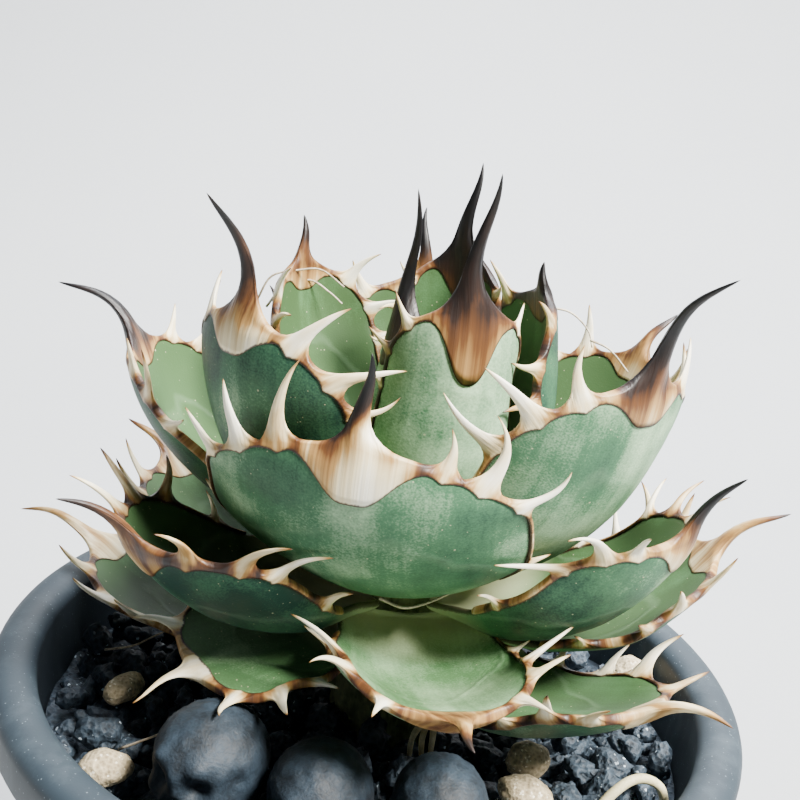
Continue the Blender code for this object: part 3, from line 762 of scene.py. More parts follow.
# Leaf fibre, dried and bleached like straw
FIBRE_STRAW = MottledMatter(
    "fibre_straw", "8D7B63", "D9CDB6", patch_mm=4.0, grain_mm=0.5, roughness=0.7, depth_mm=0.05
)

# Emulsion paint, rolled on: even and matt, with the roller's grain drawn coarse enough to show
WALL_PAINT = MottledMatter(
    "wall_paint", "A6A9AB", "ABAEAF", patch_mm=300.0, grain_mm=4.0, roughness=0.9, depth_mm=0.02
)


# The plant


@dataclass(frozen=True)
class Leaf:
    """One leaf, with the same form as in the part's source, and the tints that the photograph shows."""

    order: int  # its number, from the youngest
    turn: float  # how far it strays from the spiral, in degrees
    reach: float  # how far out its tip is
    height: float  # how high its tip is
    start: float  # how steeply its midrib rises at the root, in degrees
    end: float  # the same at the tip
    half_width: float
    fold: float  # how far its channel turns up to each side, in degrees
    spine: float  # the length of its terminal spine
    spine_rise: float  # how steeply that rises, in degrees
    tooth_size: float = 1.0
    hook: float = 0.25  # how far its teeth lean to the inner face, as a share of their height
    roll: float = 0.0  # how far it is turned round its midrib, in degrees
    pallor: float = 0.3  # share of wax bloom on the skin, and painted light too: set lower on leaves in shade and higher on lit leaves
    cap_age: float = 0.2  # how brown the horn's cap is
    char: float = 0.5  # share of the terminal spine that is dark
    stout: float = 1.0  # how thick its terminal spine is
    side_painted_light: float = 0.0  # how much paler the spine is drawn on its right side than on its left: painted highlight on the right, painted shade on the left
    cap: float = 0.0075  # how far the horn's cap runs down the outer face

    @cached_property
    def cap_spread(self) -> float:
        """How far the cap reaches along the margin on each side of the tip."""
        return 2.6 * MM + 0.16 * self.half_width

    @cached_property
    def azimuth(self) -> float:
        """The way that the leaf points, in degrees."""
        return FIRST_AZIMUTH + DIVERGENCE * self.order + self.turn

    @cached_property
    def root(self) -> tuple[float, float]:
        """Where the midrib leaves the stem.

        Returns:
            How far out that is, and how high.
        """
        height = STEM_TOP - LEAF_STEP * self.order
        slope = (LEAFY_FOOT_RADIUS - STEM_TOP_RADIUS) / (STEM_TOP - LEAFY_FOOT)
        lean = abs(math.sin(math.radians(self.start) - math.atan(slope)))
        radius = LEAFY_FOOT_RADIUS - slope * (height - LEAFY_FOOT)
        return radius + CLEARANCE + 0.5 * ROOT_THICKNESS * lean + ROOT_ROOM, height

    @cached_property
    def stand(self) -> Matrix:
        """Stands the leaf on the stem.

        Returns:
            What takes the leaf's own axes, X out and Z up from its root, to the scene's.
        """
        turn = math.radians(self.azimuth - 90.0)
        out, height = self.root
        place = Matrix.Translation((PLANT_X + out * math.cos(turn), out * math.sin(turn), height))
        return place @ Matrix.Rotation(turn, 4, "Z")

    @cached_property
    def handles(self) -> tuple[Vector, Vector, Vector, Vector]:
        """Shapes the midrib's Bezier curve.

        Returns:
            Its four points, out and up from the root.
        """
        out, height = self.root
        tip = Vector((self.reach - out, self.height - height))
        pull = HANDLE * tip.length
        start, end = math.radians(self.start), math.radians(self.end)
        first = pull * Vector((math.cos(start), math.sin(start)))
        return Vector((0.0, 0.0)), first, tip - pull * Vector((math.cos(end), math.sin(end))), tip

    def midrib(self, t: float) -> Vector:
        """Finds a point of the midrib's Bezier curve.

        Args:
            t: the curve's parameter, from 0 to 1.

        Returns:
            The point, out and up from the root.
        """
        a, b, c, d = self.handles
        u = 1.0 - t
        return u**3 * a + 3 * u * u * t * b + 3 * u * t * t * c + t**3 * d

    def rib(self, share: float) -> tuple[Vector, Vector]:
        """Follows the midrib.

        Args:
            share: how far along it, from 0 to 1, or straight on past its tip.

        Returns:
            The point and the unit direction there.
        """
        a, b, c, d = self.handles
        t = min(share, 1.0)
        u = 1.0 - t
        ahead = (u * u * (b - a) + 2 * u * t * (c - b) + t * t * (d - c)).normalized()
        point = self.midrib(t) + ahead * self.length * max(share - 1.0, 0.0)
        if share < FREE_FROM:
            # Pressed between its neighbours, the leaf's foot is nearly straight
            pressed = self.midrib(FREE_FROM) * share / FREE_FROM
            point = pressed.lerp(point, smooth_step(0.45, 1.0, share / FREE_FROM))
        return point, ahead

    @cached_property
    def length(self) -> float:
        """The midrib's length."""
        points = [self.midrib(i / 32) for i in range(33)]
        return sum((there - here).length for here, there in zip(points, points[1:]))

    def width_at(self, share: float) -> float:
        """Measures the blade across.

        Args:
            share: where, as a share of its length.

        Returns:
            Half its width.
        """
        root = min(ROOT_WRAP * self.root[0], 0.75 * self.half_width)
        if share <= WIDEST:
            return root + (self.half_width - root) * math.sin(0.5 * math.pi * max(share, 0.0) / WIDEST)
        past = min((share - WIDEST) / (1.0 - WIDEST), 1.0)
        return TIP_HALF_WIDTH + (self.half_width - TIP_HALF_WIDTH) * (1.0 - past**TIP_BLUNTNESS) ** 0.66

    def thickness_at(self, share: float, side: float) -> float:
        """Measures the blade through.

        Args:
            share: where, as a share of its length.
            side: where across it, from -1 to 1.

        Returns:
            Its thickness.
        """
        middle = ROOT_THICKNESS + (MIDDLE_THICKNESS - ROOT_THICKNESS) * math.sin(math.pi * share)
        if share > WIDEST:
            middle += (TIP_THICKNESS - middle) * (share - WIDEST) / (1.0 - WIDEST)
        return EDGE_THICKNESS + (middle - EDGE_THICKNESS) * (1.0 - abs(side) ** 1.6)

    def place(self, along: float, across: float, lift: float) -> Vector:
        """Finds a point of the leaf in the scene.

        Args:
            along: distance along the midrib.
            across: distance across it, round the blade's channel.
            lift: distance from the mid-surface towards the inner face.

        Returns:
            The point.
        """
        share = along / self.length
        rib, ahead = self.rib(share)
        inward = Vector((-ahead.y, 0.0, ahead.x))
        channel = self.half_width / math.radians(self.fold)
        turned = across / channel
        lift += EDGE_WAVE * (across / self.half_width) ** 2 * math.sin(13.0 * share + 2.4 * self.order)
        aside = (channel - lift) * math.sin(turned)
        rise = channel * (1.0 - math.cos(turned)) + lift * math.cos(turned)
        rolled = Matrix.Rotation(math.radians(self.roll) * min(share, 1.0), 2) @ Vector((aside, rise))
        return self.stand @ (Vector((rib.x, rolled.x, rib.y)) + inward * rolled.y)

    def share_from_tip(self, distance: float) -> float:
        """Steps back along the edge from the blade's tip.

        Args:
            distance: how far.

        Returns:
            The share of the length there.
        """
        step = 0.001
        share, done = 1.0, 0.0
        while done < distance:
            done += math.hypot(self.width_at(share - step) - self.width_at(share), step * self.length)
            share -= step
        return share

    def tooth_middles(self, side: int) -> list[float]:
        """Spaces the teeth along one edge.

        Args:
            side: 1 or -1 for the edge.

        Returns:
            The middle of each tooth's base, from the root on, as a share of the length.
        """
        jitter = random.Random(10 * self.order + (side > 0))
        base = TOOTH_BASE * self.tooth_size
        spread = 0.55 + 0.45 * self.tooth_size
        spots = [place * spread + jitter.uniform(-1.0, 1.0) * 1.1 * MM for place in TOOTH_PLACES]
        second = self.share_from_tip(spots[0] + 0.5 * base)
        first = min(FIRST_TOOTH + 0.5 * base / self.length, second - 2.2 * MM / self.length)
        return [first - 0.5 * base / self.length] + [self.share_from_tip(spot) for spot in spots]

    @cached_property
    def bosses(self) -> dict[int, list[float]]:
        """Where each edge swells under its teeth, as distances along the midrib."""
        return {side: [middle * self.length for middle in self.tooth_middles(side)] for side in (-1, 1)}

    def edge_at(self, share: float, side: int) -> float:
        """Measures the blade across, with the bosses that its teeth stand on.

        Args:
            share: where, as a share of its length.
            side: 1 or -1 for the edge.

        Returns:
            The distance from the midrib to the edge.
        """
        along = share * self.length
        swell = sum(math.exp(-(((along - boss) / (3.0 * MM)) ** 2)) for boss in self.bosses[side])
        return self.width_at(share) + 0.7 * MM * self.tooth_size * swell * (1.0 - share**8)

    def skin(self, along: float, across: float, face: int, proud: float = 0.0) -> Vector:
        """Finds a point on the blade's skin.

        Args:
            along: distance along the midrib.
            across: distance across it.
            face: 1 for the inner face and -1 for the outer one.
            proud: height above the skin.

        Returns:
            The point.
        """
        share = min(max(along / self.length, 0.0), 1.0)
        side = max(-1.0, min(1.0, across / self.edge_at(share, 1 if across > 0 else -1)))
        flesh = self.thickness_at(share, side) - EDGE_THICKNESS
        depth = 0.5 * EDGE_THICKNESS + (0.25 if face > 0 else 0.75) * flesh + proud
        return self.place(along, across, face * depth)


@dataclass(frozen=True)
class Blade:
    """The green, fleshy part of a leaf."""

    leaf: Leaf
    rows: int = 34
    columns: int = 13
    sink: float = 0.3 * MM  # how far the flesh lies back under the horn
    apart: float = 41.0  # how far apart leaves lie in the skin's pattern, so that no two look alike
    behind: float = 17.0  # the same for a leaf's two faces

    def fluting(self, share: float, side: float) -> float:
        """The height of the shallow ridges along the blade."""
        return 0.12 * MM * math.sin(9.0 * side + self.leaf.order) * math.sin(math.pi * share)

    def under_horn(self, along: float, across: float, from_edge: float) -> float:
        """Tells how surely a point lies under the horny margin.

        Args:
            along: its distance along the midrib.
            across: its distance across it.
            from_edge: its distance from the edge.

        Returns:
            From 0 for a bare point to 1 for a covered one.
        """
        leaf = self.leaf
        capped = 0.75 * leaf.cap * math.exp(-((across / leaf.cap_spread) ** 2))
        from_cap = along - (leaf.length - capped)
        return max(smooth_step(1.2 * MM, 0.5 * MM, from_edge), smooth_step(0.0, 1.5 * MM, from_cap))

    def mesh(self) -> bpy.types.Mesh:
        """Makes an inner and an outer face, joined round the edge.

        Returns:
            The mesh.
        """
        leaf = self.leaf
        draft = Draft()

        # Columns stand closer together towards the edges, as over an arc
        arc = 0.46 * math.pi
        loops = []
        for i in range(self.rows + 1):
            share = 1.0 - (1.0 - i / self.rows) ** 1.4
            along = share * leaf.length
            loop = []
            for face in (1, -1):
                for j in range(self.columns):
                    side = face * math.sin(arc * (2.0 * j / (self.columns - 1) - 1.0)) / math.sin(arc)
                    reach = leaf.edge_at(share, 1 if side > 0 else -1)
                    across, from_edge = side * reach, (1.0 - abs(side)) * reach
                    sunk = self.sink * self.under_horn(along, across, from_edge)
                    loop.append(draft.point(
                        leaf.skin(along, across, face, self.fluting(share, side) - sunk),
                        share=share,
                        side=side,
                        inner=0.5 + 0.5 * face,
                        pallor=leaf.pallor,
                        edge=from_edge / MM,
                        flow=(across / MM, along / MM, self.apart * leaf.order + self.behind * face),
                    ))
            loops.append(loop)
        draft.tube(loops)
        return draft.mesh(f"blade_{leaf.order:02d}")


@dataclass(frozen=True)
class Prong:
    """A tooth or the terminal spine, drawn out of the horny margin."""

    middle: float  # where its middle stands, along the margin
    base: float  # half the width of its flared base
    body: float  # half its width above the flare
    taper: float  # how its width falls away towards the tip
    thickness: float  # half its thickness at the base
    tall: float  # its height
    line: tuple[Vector, ...]  # its middle line from its foot, in the scene's axes
    lifts: tuple[Vector, ...]  # the way towards its inner face, at the same places
    asides: tuple[Vector, ...]  # the way across it, at the same places
    flare_end: float = 0.24  # share of its height where the flare ends
    tint: float = 0.0  # how much browner it is than its leaf's horn
    terminal: bool = False

    def half_width(self, rise: float) -> float:
        """Half its width at a share of its height."""
        flare = max(0.0, 1.0 - rise / self.flare_end) ** 2.2
        return self.body * (1.0 - rise) ** self.taper + (self.base - self.body) * flare

    def half_depth(self, rise: float) -> float:
        """Measures it through: a flattened base that runs out into a round point.

        Args:
            rise: where, as a share of its height.

        Returns:
            Half its thickness.
        """
        flat = self.thickness * (1.0 - rise) ** 0.6
        round_one = 0.85 * self.half_width(rise)
        return (flat**-4 + max(round_one, 1e-6) ** -4) ** -0.25 if rise < 1.0 else 0.0

    def follow(self, rise: float, points: tuple[Vector, ...]) -> Vector:
        """Reads one of its lines.

        Args:
            rise: where, as a share of its height.
            points: its middle line, or its lifts or asides.

        Returns:
            What the line says there.
        """
        spot = min(max(rise, 0.0), 1.0) * (len(points) - 1)
        index = min(int(spot), len(points) - 2)
        return points[index].lerp(points[index + 1], spot - index)


def bent_to(line: list[Vector], tip: Vector) -> tuple[Vector, ...]:
    """Bends a line evenly so that it ends at a tip.

    Args:
        line: the line's points.
        tip: where it has to end.

    Returns:
        The bent line's points.
    """
    off = tip - line[-1]
    return tuple(point + off * (i / (len(line) - 1)) ** 1.2 for i, point in enumerate(line))


@dataclass(frozen=True)
class Ledge:
    """A place where the horny margin stands out from the blade's edge."""

    rise: float  # share of its prong's height
    middle: Vector  # the point in the middle of its thickness
    depth: Vector  # from there to its inner face
    flow: tuple[float, float, float]  # its place in the horn's grain, in millimetres


@dataclass(frozen=True)
class HornyMargin:
    """The horny sheath round a leaf's edge: a band, its teeth, and the terminal spine with its cap."""

    leaf: Leaf
    start: float = 0.27  # share of the leaf's length where the sheath begins
    steps: int = 90  # points of the outline on each side
    band: float = 0.45 * MM  # how far it covers each face between teeth
    wedge: float = 1.3 * MM  # how much further it runs down under a tooth
    proud: float = 0.25 * MM  # how high it stands over the blade's skin
    gap: float = 3.2 * MM  # how far apart its rows are between prongs
    apart: float = 29.0  # how far apart leaves lie in the horn's pattern, so that no two look alike
    crowding: float = 1.8  # how much closer together the outline's points lie towards the tip

    @cached_property
    def outline(self) -> list[tuple[float, Vector]]:
        """Follows the blade's edge, from one side round the tip to the other.

        Returns:
            Pairs of a distance along the edge and the point there.
        """
        leaf = self.leaf
        bare = 1.0 - self.start
        shares = [1.0 - bare * (1.0 - i / self.steps) ** self.crowding for i in range(self.steps + 1)]
        points = [Vector((share * leaf.length, -leaf.edge_at(share, -1))) for share in shares]
        tip = TIP_HALF_WIDTH
        for i in range(1, 8):
            across = -tip + 2 * tip * i / 8
            points.append(Vector((leaf.length + 0.8 * MM * (1.0 - (across / tip) ** 2), across)))
        points += [Vector((share * leaf.length, leaf.edge_at(share, 1))) for share in reversed(shares)]
        done = 0.0
        outline = [(0.0, points[0])]
        for here, there in zip(points, points[1:]):
            done += (there - here).length
            outline.append((done, there))
        return outline

    def on_outline(self, spot: float) -> Vector:
        """Finds a point of the outline.

        Args:
            spot: its distance along the outline.

        Returns:
            The point, along and across the leaf.
        """
        outline = self.outline
        low, high = 0, len(outline) - 1
        while high - low > 1:
            middle = (low + high) // 2
            if outline[middle][0] <= spot:
                low = middle
            else:
                high = middle
        (start, here), (end, there) = outline[low], outline[high]
        return here.lerp(there, min(max((spot - start) / (end - start), 0.0), 1.0))

    def outward(self, spot: float) -> Vector:
        """Finds the way out of the blade, evened over a few millimetres.

        Args:
            spot: distance along the outline.

        Returns:
            The unit vector, along and across the leaf.
        """
        reach = 2.5 * MM
        ahead = self.on_outline(spot + reach) - self.on_outline(spot - reach)
        return Vector((ahead.y, -ahead.x)).normalized()

    def spot_of(self, share: float, side: int) -> float:
        """Finds a share of the leaf's length on the outline.

        Args:
            share: the share of the length.
            side: 1 or -1 for the edge.

        Returns:
            Its distance along the outline.
        """
        index = (1.0 - ((1.0 - share) / (1.0 - self.start)) ** (1.0 / self.crowding)) * self.steps
        count = len(self.outline) - 1
        low = min(int(index), self.steps - 1)
        first, second = (low, low + 1) if side < 0 else (count - low, count - low - 1)
        start, end = self.outline[first][0], self.outline[second][0]
        return start + (end - start) * (index - low)

    def axes_at(self, spot: float) -> tuple[Vector, Vector, Vector]:
        """Finds the axes of a prong in the scene.

        Args:
            spot: distance along the outline.

        Returns:
            The way along the margin, the way out of the blade and the way to the inner face.
        """
        leaf = self.leaf
        point = self.on_outline(spot)
        out = self.outward(spot)
        foot = leaf.place(point.x, point.y, 0.0)
        beside = Vector((-out.y, out.x)) * MM
        edge = leaf.place(point.x + beside.x, point.y + beside.y, 0.0) - foot
        ahead = leaf.place(point.x + out.x * MM, point.y + out.y * MM, 0.0) - foot
        lift = leaf.place(point.x, point.y, MM) - foot
        return edge.normalized(), ahead.normalized(), lift.normalized()

    def tooth(
        self,
        spot: float,
        tall: float,
        sweep: float,
        bends: tuple[float, float, float] | None,
        tint: float,
    ) -> Prong:
        """Shapes a hooked, flattened tooth that ends where the part's plain tooth does.

        Args:
            spot: where it stands along the outline.
            tall: its height over the margin.
            sweep: how far its tip leans along the margin, as a share of its height.
            bends: the angles at which it leaves the margin and ends, and how much its middle strays.
                Without them it is straight, as the part's tooth is.
            tint: how much browner it is than its leaf's horn.

        Returns:
            The tooth.
        """
        edge, ahead, lift = self.axes_at(spot)
        hook = self.leaf.hook
        lean, curl, kink = bends or (0.0, 0.0, 0.0)
        steps = 12
        place = Vector((0.0, 0.0, 0.0))
        line, lifts, asides = [place.copy()], [], []
        for i in range(steps + 1):
            rise = i / steps
            angle = lean * (1.0 - rise) ** 1.5 + curl * rise**1.4
            angle += kink * math.sin(2.0 * math.pi * rise)
            flat_way = ahead * math.cos(angle) + edge * math.sin(angle)
            way = (flat_way + lift * 2.0 * hook * rise).normalized()
            across = edge * math.cos(angle) - ahead * math.sin(angle)
            asides.append(edge.lerp(across, smooth_step(0.0, 0.4, rise)))
            lifts.append((lift - way * way.dot(lift)).normalized())
            if i < steps:
                place = place + way * tall / steps
                line.append(place.copy())
        tip = ahead * (tall + PLAIN_BAND) + edge * sweep * tall + lift * hook * tall
        if bends is None:
            line = [tip * (i / steps) for i in range(steps + 1)]
        size = self.leaf.tooth_size
        return Prong(
            middle=spot,
            base=0.5 * TOOTH_BASE * 1.15 * size,
            body=(0.7 * MM + 0.085 * tall) * size,
            taper=0.8,
            thickness=0.9 * MM,
            tall=tall,
            line=bent_to(line, tip),
            lifts=tuple(lifts),
            asides=tuple(asides),
            tint=tint,
        )

    def terminal_spine(self) -> Prong:
        """Shapes the long spine at the leaf's tip, in a slow S that ends where the part's spine does.

        Returns:
            The spine.
        """
        leaf = self.leaf
        spot = 0.5 * self.outline[-1][0]
        edge, ahead, _ = self.axes_at(spot)
        end, rise_angle = math.radians(leaf.end), math.radians(leaf.spine_rise)
        tall = leaf.spine
        turn = leaf.stand.to_3x3()
        tip, done = ahead * PLAIN_BAND, 0.0
        for share in SPINE_STAGES:
            angle = end + (rise_angle - end) * min(1.0, 1.6 * done + 0.15)
            tip = tip + turn @ Vector((math.cos(angle), 0.0, math.sin(angle))) * tall * (share - done)
            done = share
        steps = 16
        place = Vector((0.0, 0.0, 0.0))
        line, lifts = [place.copy()], []
        sway = 0.045 * tall * (1.0 if leaf.order % 2 else -1.0)
        for i in range(steps + 1):
            done = i / steps
            angle = end + (rise_angle - end) * min(1.0, 1.6 * done + 0.1)
            angle += math.radians(9.0) * math.sin(2.0 * math.pi * done)
            lifts.append(turn @ Vector((-math.sin(angle), 0.0, math.cos(angle))))
            if i < steps:
                place = place + turn @ Vector((math.cos(angle), 0.0, math.sin(angle))) * tall / steps
                line.append(place + edge * sway * math.sin(2.0 * math.pi * (i + 1) / steps))
        return Prong(
            middle=spot,
            base=6.5 * MM * leaf.stout,
            body=2.1 * MM * leaf.stout,
            taper=0.85,
            thickness=1.8 * MM * leaf.stout,
            tall=tall,
            line=bent_to(line, tip),
            lifts=tuple(lifts),
            asides=(edge,) * (steps + 1),
            terminal=True,
        )

    @cached_property
    def prongs(self) -> list[Prong]:
        """Shapes every tooth and the spine, with bases that don't overlap.

        Returns:
            Them, in order along the outline.
        """
        leaf = self.leaf
        jitter = random.Random(100 + leaf.order)
        shape = random.Random(500 + leaf.order)
        prongs = []
        for side in (-1, 1):
            for i, middle in enumerate(leaf.tooth_middles(side)):
                tall = TOOTH_HEIGHTS[i] * leaf.tooth_size * jitter.uniform(0.8, 1.15)
                sweep = -side * jitter.uniform(-0.25, 0.45)
                tall, sweep = (SHOWN_TEETH | SHORT_TEETH).get((leaf.order, side, i), (tall, sweep))
                curl = 2.5 * sweep + shape.uniform(-0.3, 0.3)
                lean = -0.2 * curl + shape.uniform(-0.2, 0.2)
                tint = shape.choice((-0.06, 0.0, 0.05, 0.16))
                kink = shape.uniform(-0.35, 0.35)
                bends = None if (leaf.order, side, i) in STRAIGHT_TEETH else (lean, curl, kink)
                prongs.append(self.tooth(self.spot_of(middle, side), tall, sweep, bends, tint))
        prongs.append(self.terminal_spine())
        prongs.sort(key=lambda prong: prong.middle)
        fitted = []
        for i, prong in enumerate(prongs):
            room = prong.base
            for other in prongs[max(i - 1, 0) : i] + prongs[i + 1 : i + 2]:
                gap = abs(other.middle - prong.middle)
                room = min(room, 0.98 * gap * prong.base / (prong.base + other.base))
            fitted.append(replace(prong, base=room))
        return fitted

    def stations(self) -> list[tuple[float, Prong | None, float]]:
        """Spaces the sheath's rows, closer together where a prong stands.

        Returns:
            For each row its distance along the outline, the prong there and its place on the prong's base.
        """
        rows = []
        done = 0.0
        for prong in self.prongs + [None]:
            end = self.outline[-1][0] if prong is None else prong.middle - prong.base
            count = max(1, round((end - done) / self.gap))
            first = 0 if not rows else 1
            for i in range(first, count if prong else count + 1):
                rows.append((done + (end - done) * i / count, None, 0.0))
            if prong:
                rows += [(prong.middle + prong.base * place, prong, place) for place in BASE_PLACES]
                done = prong.middle + prong.base
        return rows

    def cover(self, spot: float, face: int) -> tuple[float, float]:
        """How far the sheath covers a face.

        Args:
            spot: distance along the outline.
            face: 1 for the inner face and -1 for the outer one.

        Returns:
            The cover away from the edge, and how far the cap runs down the leaf.
        """
        leaf = self.leaf
        total = self.outline[-1][0]
        near_end = min(1.0, (0.5 * total - abs(spot - 0.5 * total)) / (0.25 * total))
        torn = 1.0 + 0.35 * noise.noise(Vector((spot / (2.2 * MM), leaf.order, face)))
        width = self.band * torn * (0.25 + 0.75 * near_end) * (0.75 + 0.25 * leaf.tooth_size)
        teeth = [prong for prong in self.prongs if not prong.terminal]
        off = min(abs(spot - tooth.middle) / (0.5 * tooth.base) for tooth in teeth)
        width += self.wedge * leaf.tooth_size * math.exp(-(off**1.3)) * (1.0 if face < 0 else 0.7)
        from_tip = abs(spot - 0.5 * total)
        down = leaf.cap * math.exp(-((from_tip / leaf.cap_spread) ** 2.6)) * (1.0 if face < 0 else 0.8)
        return width, down

    def skirt(self, spot: float, inset: float, face: int) -> tuple[Vector, float]:
        """Finds a point of the sheath on the blade's face.

        Args:
            spot: distance along the outline.
            inset: 0 at the edge and 1 at the sheath's border.
            face: 1 for the inner face and -1 for the outer one.

        Returns:
            The point and its distance from the border, in millimetres.
        """
        leaf = self.leaf
        point, out = self.on_outline(spot), self.outward(spot)
        width, down = self.cover(spot, face)
        side = 1.0 if point.y > 0 else -1.0
        across = point.y - side * min(width * abs(out.y), 0.45 * abs(point.y)) * inset
        along = point.x - (width * max(out.x, 0.0) + down) * inset
        thin = self.proud * (1.0 - 0.55 * inset**2)
        return leaf.skin(along, across, face, thin), (width + down) * (1.0 - inset) / MM

    def age(self, prong: Prong | None, place: float, rise: float, inset: float) -> float:
        """Tells how dark the horn is at a point: its age, and on a terminal spine also painted shade on its
        left side and a painted highlight on its right.

        Args:
            prong: the tooth or spine there.
            place: where on its base, from -1 to 1.
            rise: share of its height.
            inset: 0 at the blade's edge and 1 at the sheath's border.

        Returns:
            Its age, from 0 for ivory to 1 for black.
        """
        leaf = self.leaf
        if prong is None:
            return 0.34 + 0.3 * leaf.cap_age + 0.05 * inset
        if not prong.terminal:
            base = 0.30 + 0.4 * leaf.cap_age + prong.tint + 0.16 * place**2
            pale = 0.02 + 0.30 * leaf.cap_age + prong.tint
            age = base + (pale - base) * smooth_step(0.02, 0.35, rise + 0.25 * (1.0 - abs(place)))
            return age + 0.55 * smooth_step(0.74, 1.0, rise)
        # Painted shade: the terminal spine's foot is drawn darker on its left side
        foot = leaf.cap_age + 0.55 * leaf.side_painted_light * smooth_step(0.1, -0.9, place)
        dark = 0.42 + 0.55 * smooth_step(0.1, 0.8, leaf.char)
        start = 0.9 * (1.0 - leaf.char)
        foot += 0.3 * leaf.char * (1.0 - inset) ** 2
        age = foot + (dark - foot) * smooth_step(start - 0.12, start + 0.3, rise)
        # Painted highlight on the spine's right side, and painted shade on its left
        side_light_shift = leaf.side_painted_light * place * smooth_step(0.0, 0.2, rise) * smooth_step(1.0, 0.6, rise)
        return age + 0.12 * smooth_step(0.7, 1.0, rise) - side_light_shift

    def ledges(self, spot: float, prong: Prong | None, place: float) -> list[Ledge]:
        """Works out how the sheath stands out from the blade's edge.

        Args:
            spot: distance along the outline.
            prong: the tooth or spine there.
            place: where on its base, from -1 to 1.

        Returns:
            A ledge for each of the rises.
        """
        leaf = self.leaf
        point, out = self.on_outline(spot), self.outward(spot)
        foot = leaf.place(point.x, point.y, 0.0)
        lift = (leaf.place(point.x, point.y, MM) - foot).normalized()
        rim = leaf.place(point.x + out.x * BAND_WIDTH, point.y + out.y * BAND_WIDTH, 0.0)
        height = (1.0 - abs(place)) ** 1.5 if prong else 0.0
        ledges = []
        for share in RISES:
            rise = share * height
            middle = foot.lerp(rim, math.sin(0.5 * math.pi * share))
            depth = (0.5 * EDGE_THICKNESS + self.proud) * math.sqrt(1.0 - share**2)
            along, up = spot, BAND_WIDTH * share
            if prong:
                half = math.copysign(prong.half_width(height), place)
                aside = (half - place * prong.base) * share if place else 0.0
                middle = middle + prong.follow(rise, prong.line) + prong.follow(rise, prong.asides) * aside
                from_line = abs(place * prong.base + aside) / max(prong.half_width(rise), 1e-6)
                body = prong.half_depth(rise) * math.sqrt(max(0.0, 1.0 - min(1.0, from_line) ** 2))
                body = max(body, 0.12 * MM) if share < 1.0 else 0.0
                blend = smooth_step(0.0, 0.12, height)
                depth = body * blend + depth * (1.0 - blend)
                lift = prong.follow(rise, prong.lifts)
                along = prong.middle + place * prong.base * (1.0 - 0.7 * rise)
                up = rise * prong.tall
            flow = (along / MM, up / MM, self.apart * leaf.order)
            ledges.append(Ledge(rise, middle, lift * depth, flow))
        return ledges

    def row(self, draft: Draft, spot: float, prong: Prong | None, place: float) -> list[int]:
        """Adds a row of points from the sheath's border on the outer face round to that on the inner face.

        Args:
            draft: the mesh being made.
            spot: distance along the outline.
            prong: the tooth or spine there.
            place: where on its base, from -1 to 1.

        Returns:
            The points' indices.
        """
        ledges = self.ledges(spot, prong, place)
        row = []
        for face in (-1, 1):
            half_row = []
            for inset in INSETS:
                point, border = self.skirt(spot, inset, face)
                width, _ = self.cover(spot, face)
                half_row.append(draft.point(
                    point,
                    age=self.age(prong, place, 0.0, inset),
                    border=border,
                    flow=(spot / MM, -inset * width / MM, self.apart * self.leaf.order),
                ))

            # Both faces share the last ledge
            for ledge in ledges if face < 0 else ledges[:-1]:
                half_row.append(draft.point(
                    ledge.middle + ledge.depth * face,
                    age=self.age(prong, place, ledge.rise, 0.0),
                    border=FAR_FROM_BORDER,
                    flow=ledge.flow,
                ))
            row += half_row if face < 0 else half_row[::-1]
        return row

    def mesh(self) -> bpy.types.Mesh:
        """Makes the closed sheath: over the outer face, round the edge and its prongs, and back.

        Returns:
            The mesh.
        """
        draft = Draft()
        rows = [self.row(draft, *station) for station in self.stations()]
        draft.tube(rows)
        draft.crease([row[0] for row in rows])
        draft.crease([row[-1] for row in rows])
        return draft.mesh(f"margin_{self.leaf.order:02d}")


# Height of teeth that the photograph shows well, and their lean as a share of it, by leaf, side and place
# from the root
SHOWN_TEETH = {
    (10, -1, 1): (0.0100, 0.10),
    (10, -1, 2): (0.0125, 0.05),
    (10, -1, 3): (0.0145, 0.50),
    (10, 1, 3): (0.0075, -0.40),
    (10, 1, 2): (0.0130, -0.65),
    (10, 1, 1): (0.0120, -0.30),
    (13, 1, 2): (0.0125, 0.45),
    (13, 1, 1): (0.0125, 0.15),
    (12, -1, 2): (0.0150, -0.45),
    (12, -1, 1): (0.0125, -0.60),
    (15, -1, 1): (0.0110, -0.45),
    (15, -1, 2): (0.0110, 0.60),
    (15, 1, 1): (0.0125, 0.25),
    (15, 1, 2): (0.0070, 0.50),
    (5, 1, 3): (0.0120, 0.35),
    (5, 1, 2): (0.0120, 0.45),
    (7, -1, 2): (0.0130, -0.20),
}

# The same for teeth that would run into a neighbouring leaf
SHORT_TEETH = {
    (1, -1, 1): (0.0045, 0.0),
    (4, -1, 2): (0.0085, 0.0),
    (10, 1, 0): (0.0050, 0.0),
    (14, 1, 0): (0.0060, 0.0),
    (15, -1, 0): (0.0055, 0.0),
    (15, 1, 0): (0.0030, 0.0),
    (18, 1, 0): (0.0035, 0.0),
    (18, 1, 1): (0.0060, 0.0),
    (18, -1, 0): (0.0035, 0.0),
    (20, -1, 0): (0.0050, 0.0),
    (20, -1, 1): (0.0060, 0.0),
}

# Teeth that pass so close to another leaf that there is no room for a bend
STRAIGHT_TEETH = {(9, 1, 0), (12, -1, 1), (15, -1, 0), (15, 1, 0), (15, 1, 1), (18, 1, 0)}
